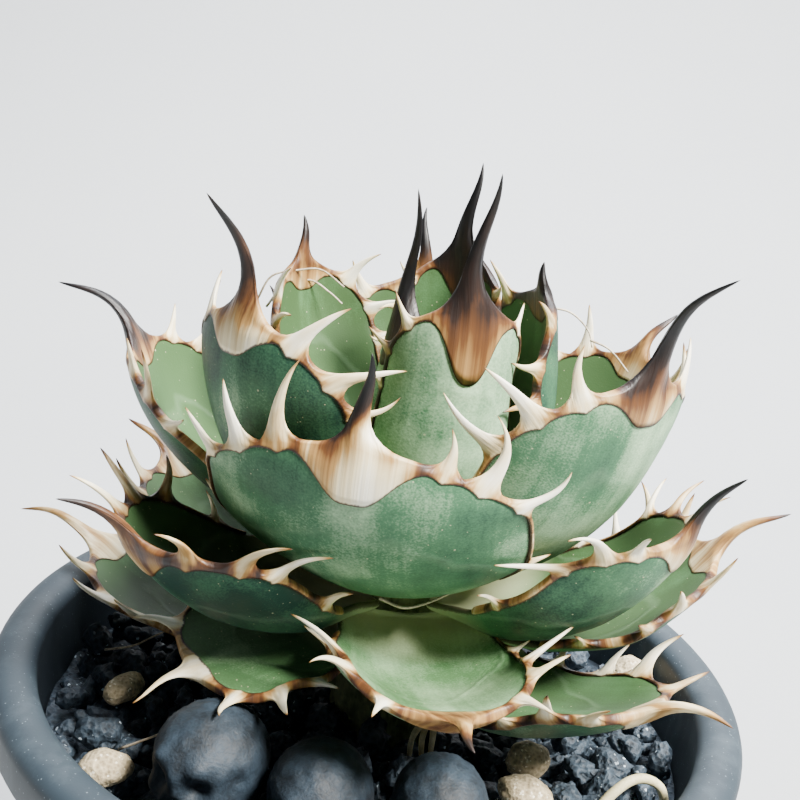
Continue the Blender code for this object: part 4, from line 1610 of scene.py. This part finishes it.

# Each leaf's bloom share is partly painted light: lower on leaves that stand in shade, higher on leaves
# that the lamp lights
LEAVES = (
    Leaf(
        0, 0.0, 0.008, 0.236, 78.0, 92.0, 0.0100, 80.0, 0.028, 86.0, 0.5, 0.25, 0.0,
        pallor=0.6, cap_age=0.6, char=1.0, cap=0.012,
    ),
    Leaf(
        1, 0.0, 0.0145, 0.247, 59.0, 97.0, 0.0158, 62.0, 0.022, 80.0, 0.6, 0.25, 0.0,
        pallor=0.6, cap_age=0.62, char=1.0, cap=0.012,
    ),
    Leaf(
        2, 0.0, 0.023, 0.243, 52.0, 94.0, 0.0180, 62.0, 0.029, 76.0, 0.6, 0.25, 0.0,
        pallor=0.75, cap_age=0.40, char=0.95, cap=0.015,
    ),
    Leaf(
        3, -6.0, 0.041, 0.238, 41.0, 92.0, 0.0198, 56.0, 0.011, 75.0, 0.9, 0.25, 0.0,
        pallor=0.2, cap_age=0.34, char=0.6,
    ),
    Leaf(
        4, 6.5, 0.0255, 0.242, 30.0, 103.0, 0.0208, 49.0, 0.006, 90.0, 0.8, 0.25, 0.0,
        pallor=0.1, cap_age=0.55, char=0.95,
    ),
    Leaf(
        5, -7.5, 0.0535, 0.2395, 18.0, 97.0, 0.0262, 48.0, 0.027, 44.0, 0.9, 0.25, 0.0,
        pallor=0.18, cap_age=0.13, char=0.9, side_painted_light=0.3,
    ),
    Leaf(
        6, 0.0, 0.052, 0.232, 17.0, 92.0, 0.0240, 47.0, 0.020, 60.0, 0.9, 0.25, 0.0,
        pallor=0.3, cap_age=0.35, char=0.7,
    ),
    Leaf(
        7, 0.0, 0.058, 0.237, 17.0, 88.0, 0.0285, 46.0, 0.030, 38.0, 1.0, 0.25, -5.0,
        pallor=0.52, cap_age=0.22, char=0.95, side_painted_light=0.35,
    ),
    Leaf(
        8, 0.0, 0.0675, 0.219, 18.0, 71.0, 0.0258, 43.0, 0.024, 2.0, 0.9, 0.0, 0.0,
        pallor=0.16, cap_age=0.36, char=0.95,
    ),
    Leaf(
        9, -4.0, 0.067, 0.222, 4.0, 71.0, 0.0270, 44.0, 0.016, 30.0, 1.0, 0.2, 0.0,
        pallor=0.2, cap_age=0.3, char=0.6,
    ),
    Leaf(
        10, -2.0, 0.057, 0.222, 24.0, 96.0, 0.0350, 34.0, 0.018, 80.0, 0.95, 0.1, 3.0,
        pallor=0.4, cap_age=0.06, char=0.8, side_painted_light=0.75, cap=0.0105,
    ),
    Leaf(
        11, 0.0, 0.074, 0.205, 0.0, 60.0, 0.0266, 40.0, 0.022, 30.0, 1.0, 0.1, 0.0,
        pallor=0.3, cap_age=0.3, char=0.6,
    ),
    Leaf(
        12, -12.0, 0.0655, 0.2035, -17.0, 73.0, 0.0268, 54.0, 0.018, 48.0, 0.8, -0.65, -5.0,
        pallor=0.2, cap_age=0.26, char=0.85,
    ),
    Leaf(
        13, 13.0, 0.069, 0.191, -17.0, 56.0, 0.0282, 57.0, 0.020, 18.0, 1.0, -0.45, 6.0,
        pallor=0.1, cap_age=0.38, char=0.5,
    ),
    Leaf(
        14, 3.0, 0.077, 0.188, -15.0, 61.0, 0.0272, 37.0, 0.020, 20.0, 1.0, 0.25, 0.0,
        pallor=0.3, cap_age=0.3, char=0.5,
    ),
    Leaf(
        15, -7.0, 0.066, 0.174, -29.0, 28.0, 0.0222, 50.0, 0.019, 10.0, 0.75, -0.4, 0.0,
        pallor=0.92, cap_age=0.36, char=0.4,
    ),
    Leaf(
        16, 0.0, 0.074, 0.177, -15.0, 40.0, 0.0255, 35.0, 0.018, 10.0, 1.0, 0.25, 0.0,
        pallor=0.3, cap_age=0.3, char=0.4,
    ),
    Leaf(
        17, -11.0, 0.073, 0.187, -16.5, 61.0, 0.0248, 33.0, 0.021, 22.0, 1.0, 0.1, 0.0,
        pallor=0.3, cap_age=0.28, char=0.35,
    ),
    Leaf(
        18, -12.5, 0.054, 0.1590, -25.0, -2.0, 0.0188, 21.0, 0.014, -30.0, 0.8, 0.05, -5.5,
        pallor=0.55, cap_age=0.1, char=0.15, stout=0.45, cap=0.003,
    ),
    Leaf(
        19, 0.0, 0.074, 0.159, -52.0, 36.0, 0.0250, 35.0, 0.020, 5.0, 1.0, 0.25, 0.0,
        pallor=0.3, cap_age=0.25, char=0.3,
    ),
    Leaf(
        20, 8.0, 0.069, 0.168, -68.0, 43.0, 0.0202, 27.0, 0.018, -10.0, 1.0, 0.0, -9.0,
        pallor=0.5, cap_age=0.22, char=0.3,
    ),
    Leaf(
        21, -13.0, 0.080, 0.157, -85.0, 36.0, 0.0212, 28.0, 0.028, -14.0, 1.0, 0.25, 0.0,
        pallor=0.3, cap_age=0.25, char=0.3,
    ),
)


@dataclass(frozen=True)
class Stem:
    """The short stem that the leaves grow from, ringed by the scars of shed leaves."""

    foot: float = 0.118
    neck: float = 0.139
    root_radius: float = 0.0130
    tip: float = 0.222
    scars: int = 9

    def radius(self, height: float) -> float:
        """Measures the stem.

        Args:
            height: where.

        Returns:
            Its radius there.
        """
        if height < self.neck:
            return self.root_radius
        if height < LEAFY_FOOT:
            share = (height - self.neck) / (LEAFY_FOOT - self.neck)
            return self.root_radius + (LEAFY_FOOT_RADIUS - self.root_radius) * share
        if height < STEM_TOP:
            share = (height - LEAFY_FOOT) / (STEM_TOP - LEAFY_FOOT)
            return LEAFY_FOOT_RADIUS + (STEM_TOP_RADIUS - LEAFY_FOOT_RADIUS) * share
        return STEM_TOP_RADIUS * math.sqrt(max(0.0, 1.0 - (height - STEM_TOP) / (self.tip - STEM_TOP)))

    def mesh(self) -> bpy.types.Mesh:
        """Makes a turned stem whose skin is pushed out in slanting scar rings.

        Returns:
            The mesh.
        """
        draft = Draft()
        rows, around = 60, 40
        loops = []
        for i in range(rows + 1):
            height = self.foot + (self.tip - MM - self.foot) * i / rows
            loop = []
            for j in range(around):
                angle = 2 * math.pi * j / around
                way = Vector((math.cos(angle), math.sin(angle), 0.0))
                slant = 0.5 * self.scars * (height - self.neck) / (LEAFY_FOOT - self.neck) + angle / math.pi
                ring = 0.5 * MM * abs(math.sin(math.pi * slant)) if height < STEM_TOP else 0.0
                rough = 0.35 * MM * noise.noise(Vector((5 * way.x, 5 * way.y, 240 * height)))
                radius = max(0.4 * MM, self.radius(height) - 0.5 * MM + ring + rough)
                loop.append(draft.point(way * radius + Vector((PLANT_X, 0.0, height))))
            loops.append(loop)
        draft.tube(loops)
        return draft.mesh("stem_bark")


@dataclass(frozen=True)
class Agave:
    """The whole plant."""

    leaves: tuple[Leaf, ...] = LEAVES
    stem: Stem = field(default_factory=Stem)

    def build(self) -> None:
        """Makes the stem, and each leaf's blade and horny margin."""
        cuticle = WaxyCuticle().material()
        horn = DryHorn().material()
        for leaf in self.leaves:
            number = f"{leaf.order:02d}"
            add_piece(f"blade_{number}", Blade(leaf).mesh(), cuticle, (f"leaf_{number}",), 1)
            add_piece(f"margin_{number}", HornyMargin(leaf).mesh(), horn, (f"horn_{number}",), 1)
        add_piece("stem_bark", self.stem.mesh(), STEM_BARK.material(), ("stem",))


# The pot and what lies in it


@dataclass(frozen=True)
class Pot:
    """A plain tapered nursery pot with a rolled rim and a ring of drain holes."""

    steps: int = 144
    drain_holes: int = 6
    drain_radius: float = 0.004
    drain_ring: float = 0.040

    def profile(self) -> list[tuple[float, float]]:
        """Draws the pot's section, from the middle of its foot to that of its floor.

        Returns:
            Its points, as radius and height.
        """
        inner = RIM_RADIUS - RIM_WIDTH
        rim_side = RIM_RADIUS - 0.5 * RIM_WIDTH
        rim_foot = POT_HEIGHT - RIM_DROP
        edge = 1.6 * MM
        line = [(0.0, 0.0), (FOOT_RADIUS - 1.5 * MM, 0.0), (FOOT_RADIUS - 0.4 * MM, 0.5 * MM)]
        line.append((FOOT_RADIUS, edge))
        for i in range(1, 9):
            height = edge + (rim_foot - edge) * i / 8
            line.append((FOOT_RADIUS + (UNDER_RIM_RADIUS - FOOT_RADIUS) * height / POT_HEIGHT, height))
        line += [(RIM_RADIUS - RIM_LIP, rim_foot), (RIM_RADIUS - 0.3 * RIM_LIP, rim_foot + 0.3 * RIM_LIP)]
        line.append((RIM_RADIUS, rim_foot + RIM_LIP))
        for i in range(17):
            angle = math.pi * i / 16
            fall = RIM_ROUNDING * (1.0 - math.sin(angle))
            line.append((rim_side + 0.5 * RIM_WIDTH * math.cos(angle), POT_HEIGHT - fall))
        line.append((inner, rim_foot))
        for i in range(1, 7):
            share = i / 6
            radius = inner + (FOOT_RADIUS - POT_WALL - inner) * share
            line.append((radius, rim_foot + (POT_FLOOR - rim_foot) * share))
        return line + [(0.0, POT_FLOOR)]

    def mesh(self) -> bpy.types.Mesh:
        """Turns the profile and drills the drain holes.

        Returns:
            The mesh.
        """
        bm = bmesh.new()
        points = [bm.verts.new((radius, 0.0, height)) for radius, height in self.profile()]
        edges = [bm.edges.new(pair) for pair in zip(points, points[1:])]
        bmesh.ops.spin(
            bm,
            geom=points + edges,
            cent=(0, 0, 0),
            axis=(0, 0, 1),
            angle=2 * math.pi,
            steps=self.steps,
            use_merge=True,
        )
        bmesh.ops.remove_doubles(bm, verts=bm.verts, dist=1e-6)
        bmesh.ops.recalc_face_normals(bm, faces=bm.faces)
        body = bpy.data.objects.new("pot_blank", mesh_of(bm, "pot_blank"))
        bm = bmesh.new()
        for i in range(self.drain_holes):
            turn = Matrix.Rotation(2 * math.pi * i / self.drain_holes, 4, "Z")
            bmesh.ops.create_cone(
                bm,
                cap_ends=True,
                segments=24,
                radius1=self.drain_radius,
                radius2=self.drain_radius,
                depth=4 * POT_FLOOR,
                matrix=turn @ Matrix.Translation((self.drain_ring, 0.0, 0.5 * POT_FLOOR)),
            )
        drills = bpy.data.objects.new("drills", mesh_of(bm, "drills"))
        for item in (body, drills):
            bpy.context.scene.collection.objects.link(item)
        drilling = body.modifiers.new("drilling", "BOOLEAN")
        drilling.operation = "DIFFERENCE"
        drilling.object = drills
        graph = bpy.context.evaluated_depsgraph_get()
        mesh = bpy.data.meshes.new_from_object(body.evaluated_get(graph), depsgraph=graph)
        for item in (body, drills):
            bpy.data.objects.remove(item)
        mesh.name = "pot_body"
        mesh.shade_smooth()
        mesh.set_sharp_from_angle(angle=math.radians(40.0))
        return mesh

    def build(self) -> None:
        """Makes the pot."""
        add_piece("pot_body", self.mesh(), DustyPolypropylene().material(), ("pot",))


@dataclass(frozen=True)
class StoneShape:
    """A broken stone as (direction, radius) over a sphere: faceted by flats, roughened and pitted."""

    seed: int
    detail: int
    flats: int = 9
    roughness: float = 0.20
    creases: float = 0.16
    pits: float = 0.16

    def draft(self) -> tuple[list[Vector], list[tuple[int, ...]]]:
        """Shapes the stone, about one unit in radius.

        Returns:
            Its points and its faces.
        """
        jitter = random.Random(self.seed)
        bm = bmesh.new()
        bmesh.ops.create_icosphere(bm, subdivisions=self.detail, radius=1.0)
        bm.verts.index_update()
        flats = []
        for _ in range(self.flats):
            way = Vector([jitter.gauss(0, 1) for _ in range(3)]).normalized()
            flats.append((way, jitter.uniform(0.55, 0.85)))
        shift = Vector([jitter.uniform(-50, 50) for _ in range(3)])
        squash = Vector((1.0, jitter.uniform(0.72, 0.95), jitter.uniform(0.6, 0.85)))
        points = []
        for corner in bm.verts:
            way = corner.co.normalized()
            radius = 1.0
            for flat, depth in flats:
                toward = way.dot(flat)
                if toward > depth:
                    radius = min(radius, depth / toward + 0.05)
            spot = way * 2.1 + shift
            radius += self.roughness * noise.fractal(spot, 0.7, 2.2, 4)
            radius -= self.creases * abs(noise.noise(spot * 1.7)) ** 0.5
            for scale, share in ((3.4, 1.0), (7.0, 0.5)):
                cells = noise.voronoi(way * scale + shift)[0]
                radius -= share * self.pits * max(0.0, 1.0 - cells[0] / 0.5)
            points.append(Vector([way[i] * squash[i] * radius for i in range(3)]))
        faces = [tuple(corner.index for corner in face.verts) for face in bm.faces]
        bm.free()
        return points, faces


@dataclass(frozen=True)
class Skull:
    """A small skull ornament of a plain, generic design."""

    place: tuple[float, float, float]
    size: float  # half its length
    facing: float  # in degrees round +Z, from -Y
    nod: float  # in degrees

    # (direction, spread, rise) of each feature of the surface, as shares of half its length
    features = (
        ((0.36, 0.90, -0.12), 0.22, -0.30),
        ((0.34, 0.88, 0.24), 0.17, 0.08),
        ((0.00, 0.97, 0.12), 0.11, 0.04),
        ((0.00, 0.92, -0.42), 0.12, -0.18),
        ((0.58, 0.72, -0.40), 0.18, 0.09),
        ((0.88, 0.46, -0.02), 0.25, -0.10),
        ((0.00, 0.78, -0.66), 0.30, 0.12),
        ((0.38, 0.40, -0.85), 0.26, 0.08),
    )

    def surface(self, way: Vector) -> Vector:
        """Shapes the skull, with its face along +Y and its crown along +Z.

        Args:
            way: a unit direction from its middle.

        Returns:
            The surface point in that direction.
        """
        narrow = 1.0 - 0.22 * max(0.0, way.y) * max(0.0, 0.35 - way.z)
        round_head = ((way.x / (0.86 * narrow)) ** 2 + way.y**2 + (way.z / 0.88) ** 2) ** -0.5
        mirrored = Vector((abs(way.x), way.y, way.z))
        for spot, reach, rise in self.features:
            off = (mirrored - Vector(spot).normalized()).length / reach
            round_head += rise * math.exp(-off * off)
        front = smooth_step(0.45, 0.75, way.y)
        front *= smooth_step(-0.48, -0.60, way.z) * smooth_step(-0.95, -0.80, way.z)

        # Teeth, with the line where the jaws meet
        round_head -= 0.018 * front * (1.0 - abs(math.sin(24.0 * way.x)) ** 0.4)
        round_head -= 0.03 * front * math.exp(-(((way.z + 0.70) / 0.018) ** 2))

        # The wandering seams between the bones of the crown
        crown = smooth_step(0.15, 0.5, way.z)
        across = way.y + 0.10 + 0.03 * math.sin(34.0 * way.x)
        along = way.x + 0.025 * math.sin(30.0 * way.y)
        seam = math.exp(-((across / 0.022) ** 2))
        seam += math.exp(-((along / 0.022) ** 2)) * smooth_step(0.0, -0.15, way.y)
        round_head -= 0.022 * crown * seam
        round_head += 0.022 * noise.fractal(way * 5.0 + Vector((self.facing, 0.0, 0.0)), 0.7, 2.1, 5)
        return way * round_head * self.size

    def mesh(self, name: str) -> bpy.types.Mesh:
        """Makes the skull where it lies.

        Args:
            name: the mesh's name.

        Returns:
            The mesh.
        """
        stand = (
            Matrix.Translation(self.place)
            @ Matrix.Rotation(math.radians(self.facing + 180.0), 4, "Z")
            @ Matrix.Rotation(math.radians(-self.nod), 4, "X")
        )
        bm = bmesh.new()
        bmesh.ops.create_icosphere(bm, subdivisions=5, radius=1.0)
        for corner in bm.verts:
            corner.co = self.surface(corner.co.normalized())
        bm.transform(stand)
        return mesh_of(bm, name)


SKULLS = (
    Skull((-0.0308, -0.0475, 0.1463), 0.0139, -25.0, -8.0),
    Skull((-0.0070, -0.0530, 0.1453), 0.0129, -6.0, -6.0),
    Skull((0.0180, -0.0500, 0.1445), 0.0118, 14.0, 0.0),
)

# Each pale pebble's middle, its half length, width and height, and its turn in degrees
PEBBLES = (
    ((0.0385, -0.0240, 0.1410), (0.0052, 0.0045, 0.0042), 30.0),
    ((0.0370, -0.0365, 0.1405), (0.0060, 0.0046, 0.0040), -20.0),
    ((0.0685, 0.0225, 0.1410), (0.0055, 0.0048, 0.0040), 70.0),
    ((-0.0570, -0.0180, 0.1410), (0.0058, 0.0032, 0.0034), 60.0),
    ((-0.0530, -0.0470, 0.1400), (0.0056, 0.0044, 0.0038), 15.0),
)

# The turn from one seed to the next in a flower's head, in radians, which spreads stones evenly too
GOLDEN_ANGLE = 2.399963

# Where the dry root runs, out of the stones and back into them
ROOT_ARCH = (
    (0.0510, -0.0370, 0.1335),
    (0.0560, -0.0335, 0.1410),
    (0.0620, -0.0305, 0.1445),
    (0.0680, -0.0290, 0.1420),
    (0.0710, -0.0285, 0.1335),
)

# Where the dry threads run that the leaf edges have shed
THREADS = (
    (
        (-0.0520, -0.0400, 0.1400),
        (-0.0430, -0.0412, 0.1462),
        (-0.0354, -0.0380, 0.1500),
    ),
    (
        (-0.0667, -0.0002, 0.1395),
        (-0.0590, -0.0040, 0.1440),
        (-0.0540, -0.0020, 0.1465),
        (-0.0465, 0.0017, 0.1500),
    ),
    (
        (-0.0112, -0.0380, 0.1874),
        (-0.0082, -0.0390, 0.1886),
        (-0.0039, -0.0380, 0.1864),
        (0.0004, -0.0360, 0.1842),
    ),
    (
        (-0.0004, -0.0370, 0.1832),
        (0.0049, -0.0385, 0.1826),
        (0.0100, -0.0370, 0.1839),
        (0.0144, -0.0350, 0.1859),
    ),
    (
        (-0.0400, 0.0200, 0.2290),
        (-0.0370, 0.0200, 0.2353),
        (-0.0304, 0.0200, 0.2377),
        (-0.0251, 0.0200, 0.2384),
        (-0.0193, 0.0200, 0.2350),
    ),
    (
        (-0.0379, 0.0220, 0.2270),
        (-0.0341, 0.0230, 0.2329),
        (-0.0281, 0.0240, 0.2347),
        (-0.0229, 0.0235, 0.2324),
        (-0.0195, 0.0220, 0.2304),
    ),
    (
        (0.0285, 0.0150, 0.2380),
        (0.0348, 0.0150, 0.2376),
        (0.0397, 0.0150, 0.2339),
        (0.0413, 0.0140, 0.2300),
    ),
    (
        (0.0402, 0.0120, 0.2323),
        (0.0452, 0.0120, 0.2306),
        (0.0504, 0.0120, 0.2259),
    ),
)

# Where the new roots run from the plant's foot into the stones
ROOTLETS = (
    ((0.0150, -0.0330, 0.1560), (0.0156, -0.0290, 0.1473), (0.0160, -0.0241, 0.1380)),
    ((0.0129, -0.0320, 0.1529), (0.0112, -0.0280, 0.1452), (0.0113, -0.0244, 0.1380)),
    ((0.0142, -0.0310, 0.1530), (0.0135, -0.0270, 0.1450), (0.0140, -0.0235, 0.1380)),
)


@dataclass(frozen=True)
class TopDressing:
    """The loose stones over the mix, with pebbles, a dry root and three skull ornaments among them."""

    stone: float = 0.0058  # half a stone's usual size
    lower_stones: int = 280
    upper_stones: int = 165
    grit: int = 170
    shapes: int = 14
    fill_radius: float = 0.0775
    stem_room: float = 0.0135  # the radius of the bed's hole for the stem
    bed_foot: float = 0.1278

    def clear_of_ornaments(self, spot: Vector, radius: float) -> bool:
        """Tells whether a stone leaves the skulls and the pebbles free.

        Args:
            spot: its middle.
            radius: its radius.

        Returns:
            True where it does.
        """
        for skull in SKULLS:
            if (spot - Vector(skull.place)).length < 0.86 * skull.size + 0.8 * radius:
                return False
        for place, half, _ in PEBBLES:
            if (spot.xy - Vector(place).xy).length < half[0] + 0.5 * radius:
                return False
        return True

    def places(self) -> list[tuple[Vector, float, int]]:
        """Spreads the stones evenly, with a little disorder.

        Returns:
            The middle, the radius and the layer of each.
        """
        jitter = random.Random(11)
        places = []
        size = self.stone

        # How many stones, how far over the gravel's level, the least and the most size, and the first turn
        layers = (
            (self.lower_stones, -2.6 * MM, 0.85, 1.15, 0.0),
            (self.upper_stones, 2.0 * MM, 0.72, 1.12, 2.1),
            (self.grit, 1.2 * MM, 0.28, 0.5, 4.0),
        )
        for layer, (count, over_level, least, most, phase) in enumerate(layers):
            level = GRAVEL_LEVEL + over_level
            for i in range(count):
                reach = (self.fill_radius - 0.7 * size) * math.sqrt((i + 0.5) / count)
                angle = GOLDEN_ANGLE * i + phase
                spot = Vector((reach * math.cos(angle), reach * math.sin(angle), level))
                spot += Vector([jitter.uniform(-1, 1) for _ in range(3)]) * 0.35 * size
                radius = size * jitter.uniform(least, most)
                over = spot.xy.length + 0.85 * radius - self.fill_radius
                if over > 0.0:
                    spot -= Vector((spot.x, spot.y, 0.0)).normalized() * over
                if layer == 0 or self.clear_of_ornaments(spot, radius):
                    places.append((spot, radius, layer))
        return places

    def stones(self, name: str, wanted: int, detail: int) -> bpy.types.Mesh:
        """Makes the stones of a layer as one mesh.

        Args:
            name: the mesh's name.
            wanted: the layer.
            detail: how finely a stone is divided.

        Returns:
            The mesh.
        """
        jitter = random.Random(23)
        shapes = [StoneShape(60 + i, detail).draft() for i in range(self.shapes)]
        points: list[Vector] = []
        faces: list[tuple[int, ...]] = []
        for spot, radius, layer in self.places():
            if layer != wanted:
                continue
            shape_points, shape_faces = shapes[jitter.randrange(self.shapes)]
            first_turn, second_turn, third_turn = [jitter.uniform(0, 6.28) for _ in range(3)]
            turn = Matrix.Rotation(first_turn, 3, "Z") @ Matrix.Rotation(second_turn, 3, "X")
            turn = Matrix.Rotation(third_turn, 3, "Y") @ turn
            first = len(points)
            points += [spot + turn @ point * radius for point in shape_points]
            faces += [tuple(index + first for index in face) for face in shape_faces]
        mesh = bpy.data.meshes.new(name)
        mesh.from_pydata(points, [], faces)
        mesh.shade_smooth()
        return mesh

    def bed(self) -> bpy.types.Mesh:
        """Makes the dark grit under the stones, down to the mix.

        Returns:
            The mesh.
        """
        draft = Draft()
        rings, around = 26, 96
        loops = []
        for i in range(rings + 1):
            radius = self.stem_room + (self.fill_radius - self.stem_room) * i / rings
            loop = []
            for j in range(around):
                angle = 2 * math.pi * j / around
                spot = Vector((radius * math.cos(angle), radius * math.sin(angle), 0.0))
                height = GRAVEL_LEVEL - 3.4 * MM + 1.6 * MM * noise.fractal(spot * 260.0, 0.6, 2.1, 3)
                loop.append(draft.point(spot + Vector((PLANT_X * (1.0 - i / rings), 0.0, height))))
            loops.append(loop)
        under = [
            [draft.point(Vector((*draft.points[index].xy, self.bed_foot))) for index in loop]
            for loop in (loops[0], loops[-1])
        ]
        draft.span([under[0]] + loops + [under[1], under[0]], around=True)
        return draft.mesh("lava_bed")

    def pebble(self, name: str, number: int) -> bpy.types.Mesh:
        """Makes one rounded pale pebble.

        Args:
            name: the mesh's name.
            number: which of the pebbles it is.

        Returns:
            The mesh.
        """
        place, half_sizes, turn = PEBBLES[number]
        bm = bmesh.new()
        bmesh.ops.create_icosphere(bm, subdivisions=4, radius=1.0)
        shift = Vector((7.0 * number, 3.0, 1.0))
        for corner in bm.verts:
            way = corner.co.normalized()
            swell = 1.0 + 0.14 * noise.noise(way * 1.4 + shift)
            swell += 0.05 * noise.fractal(way * 4.0 + shift, 0.8, 2.0, 3)
            corner.co = Vector([way[i] * half_sizes[i] * swell for i in range(3)])
        bm.transform(Matrix.Translation(place) @ Matrix.Rotation(math.radians(turn), 4, "Z"))
        return mesh_of(bm, name)

    def build(self) -> None:
        """Makes everything that lies on the mix, and dresses the mix itself."""
        lava = LAVA_STONE.material()
        add_piece("lava_bed", self.bed(), lava, ("lava_gravel",))
        for layer, (kind, detail) in enumerate((("stones_low", 2), ("stones_top", 3), ("grit", 2))):
            add_piece(f"lava_{kind}", self.stones(f"lava_{kind}", layer, detail), lava)
        resin = CAST_RESIN.material()
        for number, skull in enumerate(SKULLS, 1):
            name = f"skull_cast_{number}"
            add_piece(name, skull.mesh(name), resin, (f"skull_ornament_{number}",))
        pumice = PUMICE_STONE.material()
        for number in range(len(PEBBLES)):
            name = f"pebble_{number + 1}"
            add_piece(name, self.pebble(name, number), pumice, (f"pale_pebble_{number + 1}",))
        root_skin = ROOT_SKIN.material()
        arch = strands("root_arch", (ROOT_ARCH,), 1.25 * MM, 1.0 * MM, 10)
        add_piece("root_arch", arch, root_skin, ("dry_root",))
        threads = strands("dry_threads", THREADS, 0.32 * MM, 0.18 * MM, 6)
        add_piece("dry_threads", threads, FIBRE_STRAW.material())
        rootlets = strands("rootlets", ROOTLETS, 0.9 * MM, 0.6 * MM, 6)
        add_piece("rootlets", rootlets, root_skin)
        mix = bpy.data.objects["potting_mix"]
        mix.material_slots[0].material = PEAT_MIX.material()


# The view


@dataclass(frozen=True)
class Studio:
    """A pale room lit by a window, and the camera where the photograph was taken from."""

    # The camera, aimed at the middle of the pot's rim and then panned, in degrees and metres
    field_of_view: float = 38.0
    elevation: float = 29.73
    roll: float = 8.03
    distance: float = 0.2936
    pan_right: float = -0.46
    pan_up: float = 12.18

    def camera(self) -> None:
        """Places the camera."""
        rise = math.radians(self.elevation)
        back = Vector((0.0, -math.cos(rise), math.sin(rise)))
        right = Vector((1.0, 0.0, 0.0))
        up = back.cross(right)
        place = back * self.distance + Vector((0.0, 0.0, POT_HEIGHT))
        ahead, right = turn_axes(-back, right, self.pan_right)
        ahead, up = turn_axes(ahead, up, self.pan_up)
        right, up = turn_axes(right, up, self.roll)
        data = bpy.data.cameras.new("photograph_view")
        data.sensor_width = 36.0
        data.angle = math.radians(self.field_of_view)
        data.clip_start = 0.01
        camera = bpy.data.objects.new("photograph_view", data)
        bpy.context.scene.collection.objects.link(camera)
        axes = Matrix((right, up, -ahead)).transposed().to_4x4()
        camera.matrix_world = Matrix.Translation(place) @ axes
        bpy.context.scene.camera = camera

    def backdrop(self) -> None:
        """Makes a floor that curves up into the back wall, with the room's other walls further off."""
        draft = Draft()
        line = [(-2.2, 2.4), (-2.2, 0.0), (0.6, 0.0)]
        for i in range(1, 13):
            angle = 0.5 * math.pi * i / 12
            line.append((0.6 + 0.5 * math.sin(angle), 0.5 * (1.0 - math.cos(angle))))
        line.append((1.1, 2.4))
        columns = ((-2.6, 2.4), (-2.6, 0.0), (0.0, 0.0), (2.6, 0.0), (2.6, 2.4))
        rows = [[draft.point(Vector((x, y, max(z, rise)))) for x, rise in columns] for y, z in line]
        draft.span(rows)
        mesh = draft.mesh("backdrop")
        mesh.materials.append(WALL_PAINT.material())
        sheet = bpy.data.objects.new("backdrop", mesh)
        bpy.context.scene.collection.objects.link(sheet)

    def light(
        self,
        name: str,
        place: tuple[float, float, float],
        aim: tuple[float, float, float],
        size: float,
        watts: float,
        colour: str,
        spread: float = 180.0,
    ) -> None:
        """Adds a soft square light.

        Args:
            name: its name.
            place: where it hangs.
            aim: what it points at.
            size: the length of its sides.
            watts: its power.
            colour: its colour, in sRGB hex.
            spread: how wide its beam is, in degrees.
        """
        data = bpy.data.lights.new(name, "AREA")
        data.spread = math.radians(spread)
        data.size = size
        data.energy = watts
        data.color = srgb(colour)[:3]
        lamp = bpy.data.objects.new(name, data)
        bpy.context.scene.collection.objects.link(lamp)
        lamp.location = place
        lamp.rotation_euler = (Vector(aim) - Vector(place)).to_track_quat("-Z", "Y").to_euler()

    def build(self) -> None:
        """Sets up the camera, the wall and floor, and the light."""
        self.camera()
        self.backdrop()
        plant, wall = (0.0, 0.0, 0.2), (0.05, 0.85, 0.1)
        self.light("window", (0.64, -0.42, 1.05), plant, 0.28, watts=72.0, colour="FFFCF6")
        self.light("ceiling", (-0.15, 0.10, 1.05), plant, 0.8, watts=0.15, colour="D6E6FF")
        self.light("wall_wash", (0.25, 0.45, 1.6), wall, 0.9, watts=60.0, colour="FAFBFF", spread=110.0)
        world = bpy.data.worlds.new("room_air")
        world.use_nodes = True
        bpy.context.scene.world = world
        air = world.node_tree.nodes["Background"]
        air.inputs["Color"].default_value = srgb("9FBEE0")
        air.inputs["Strength"].default_value = 0.035


def main() -> None:
    """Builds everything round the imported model."""
    logging.basicConfig(level=logging.INFO, format="%(name)s %(message)s")
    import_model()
    Studio().build()
    Pot().build()
    TopDressing().build()
    Agave().build()


if __name__ == "__main__":
    main()
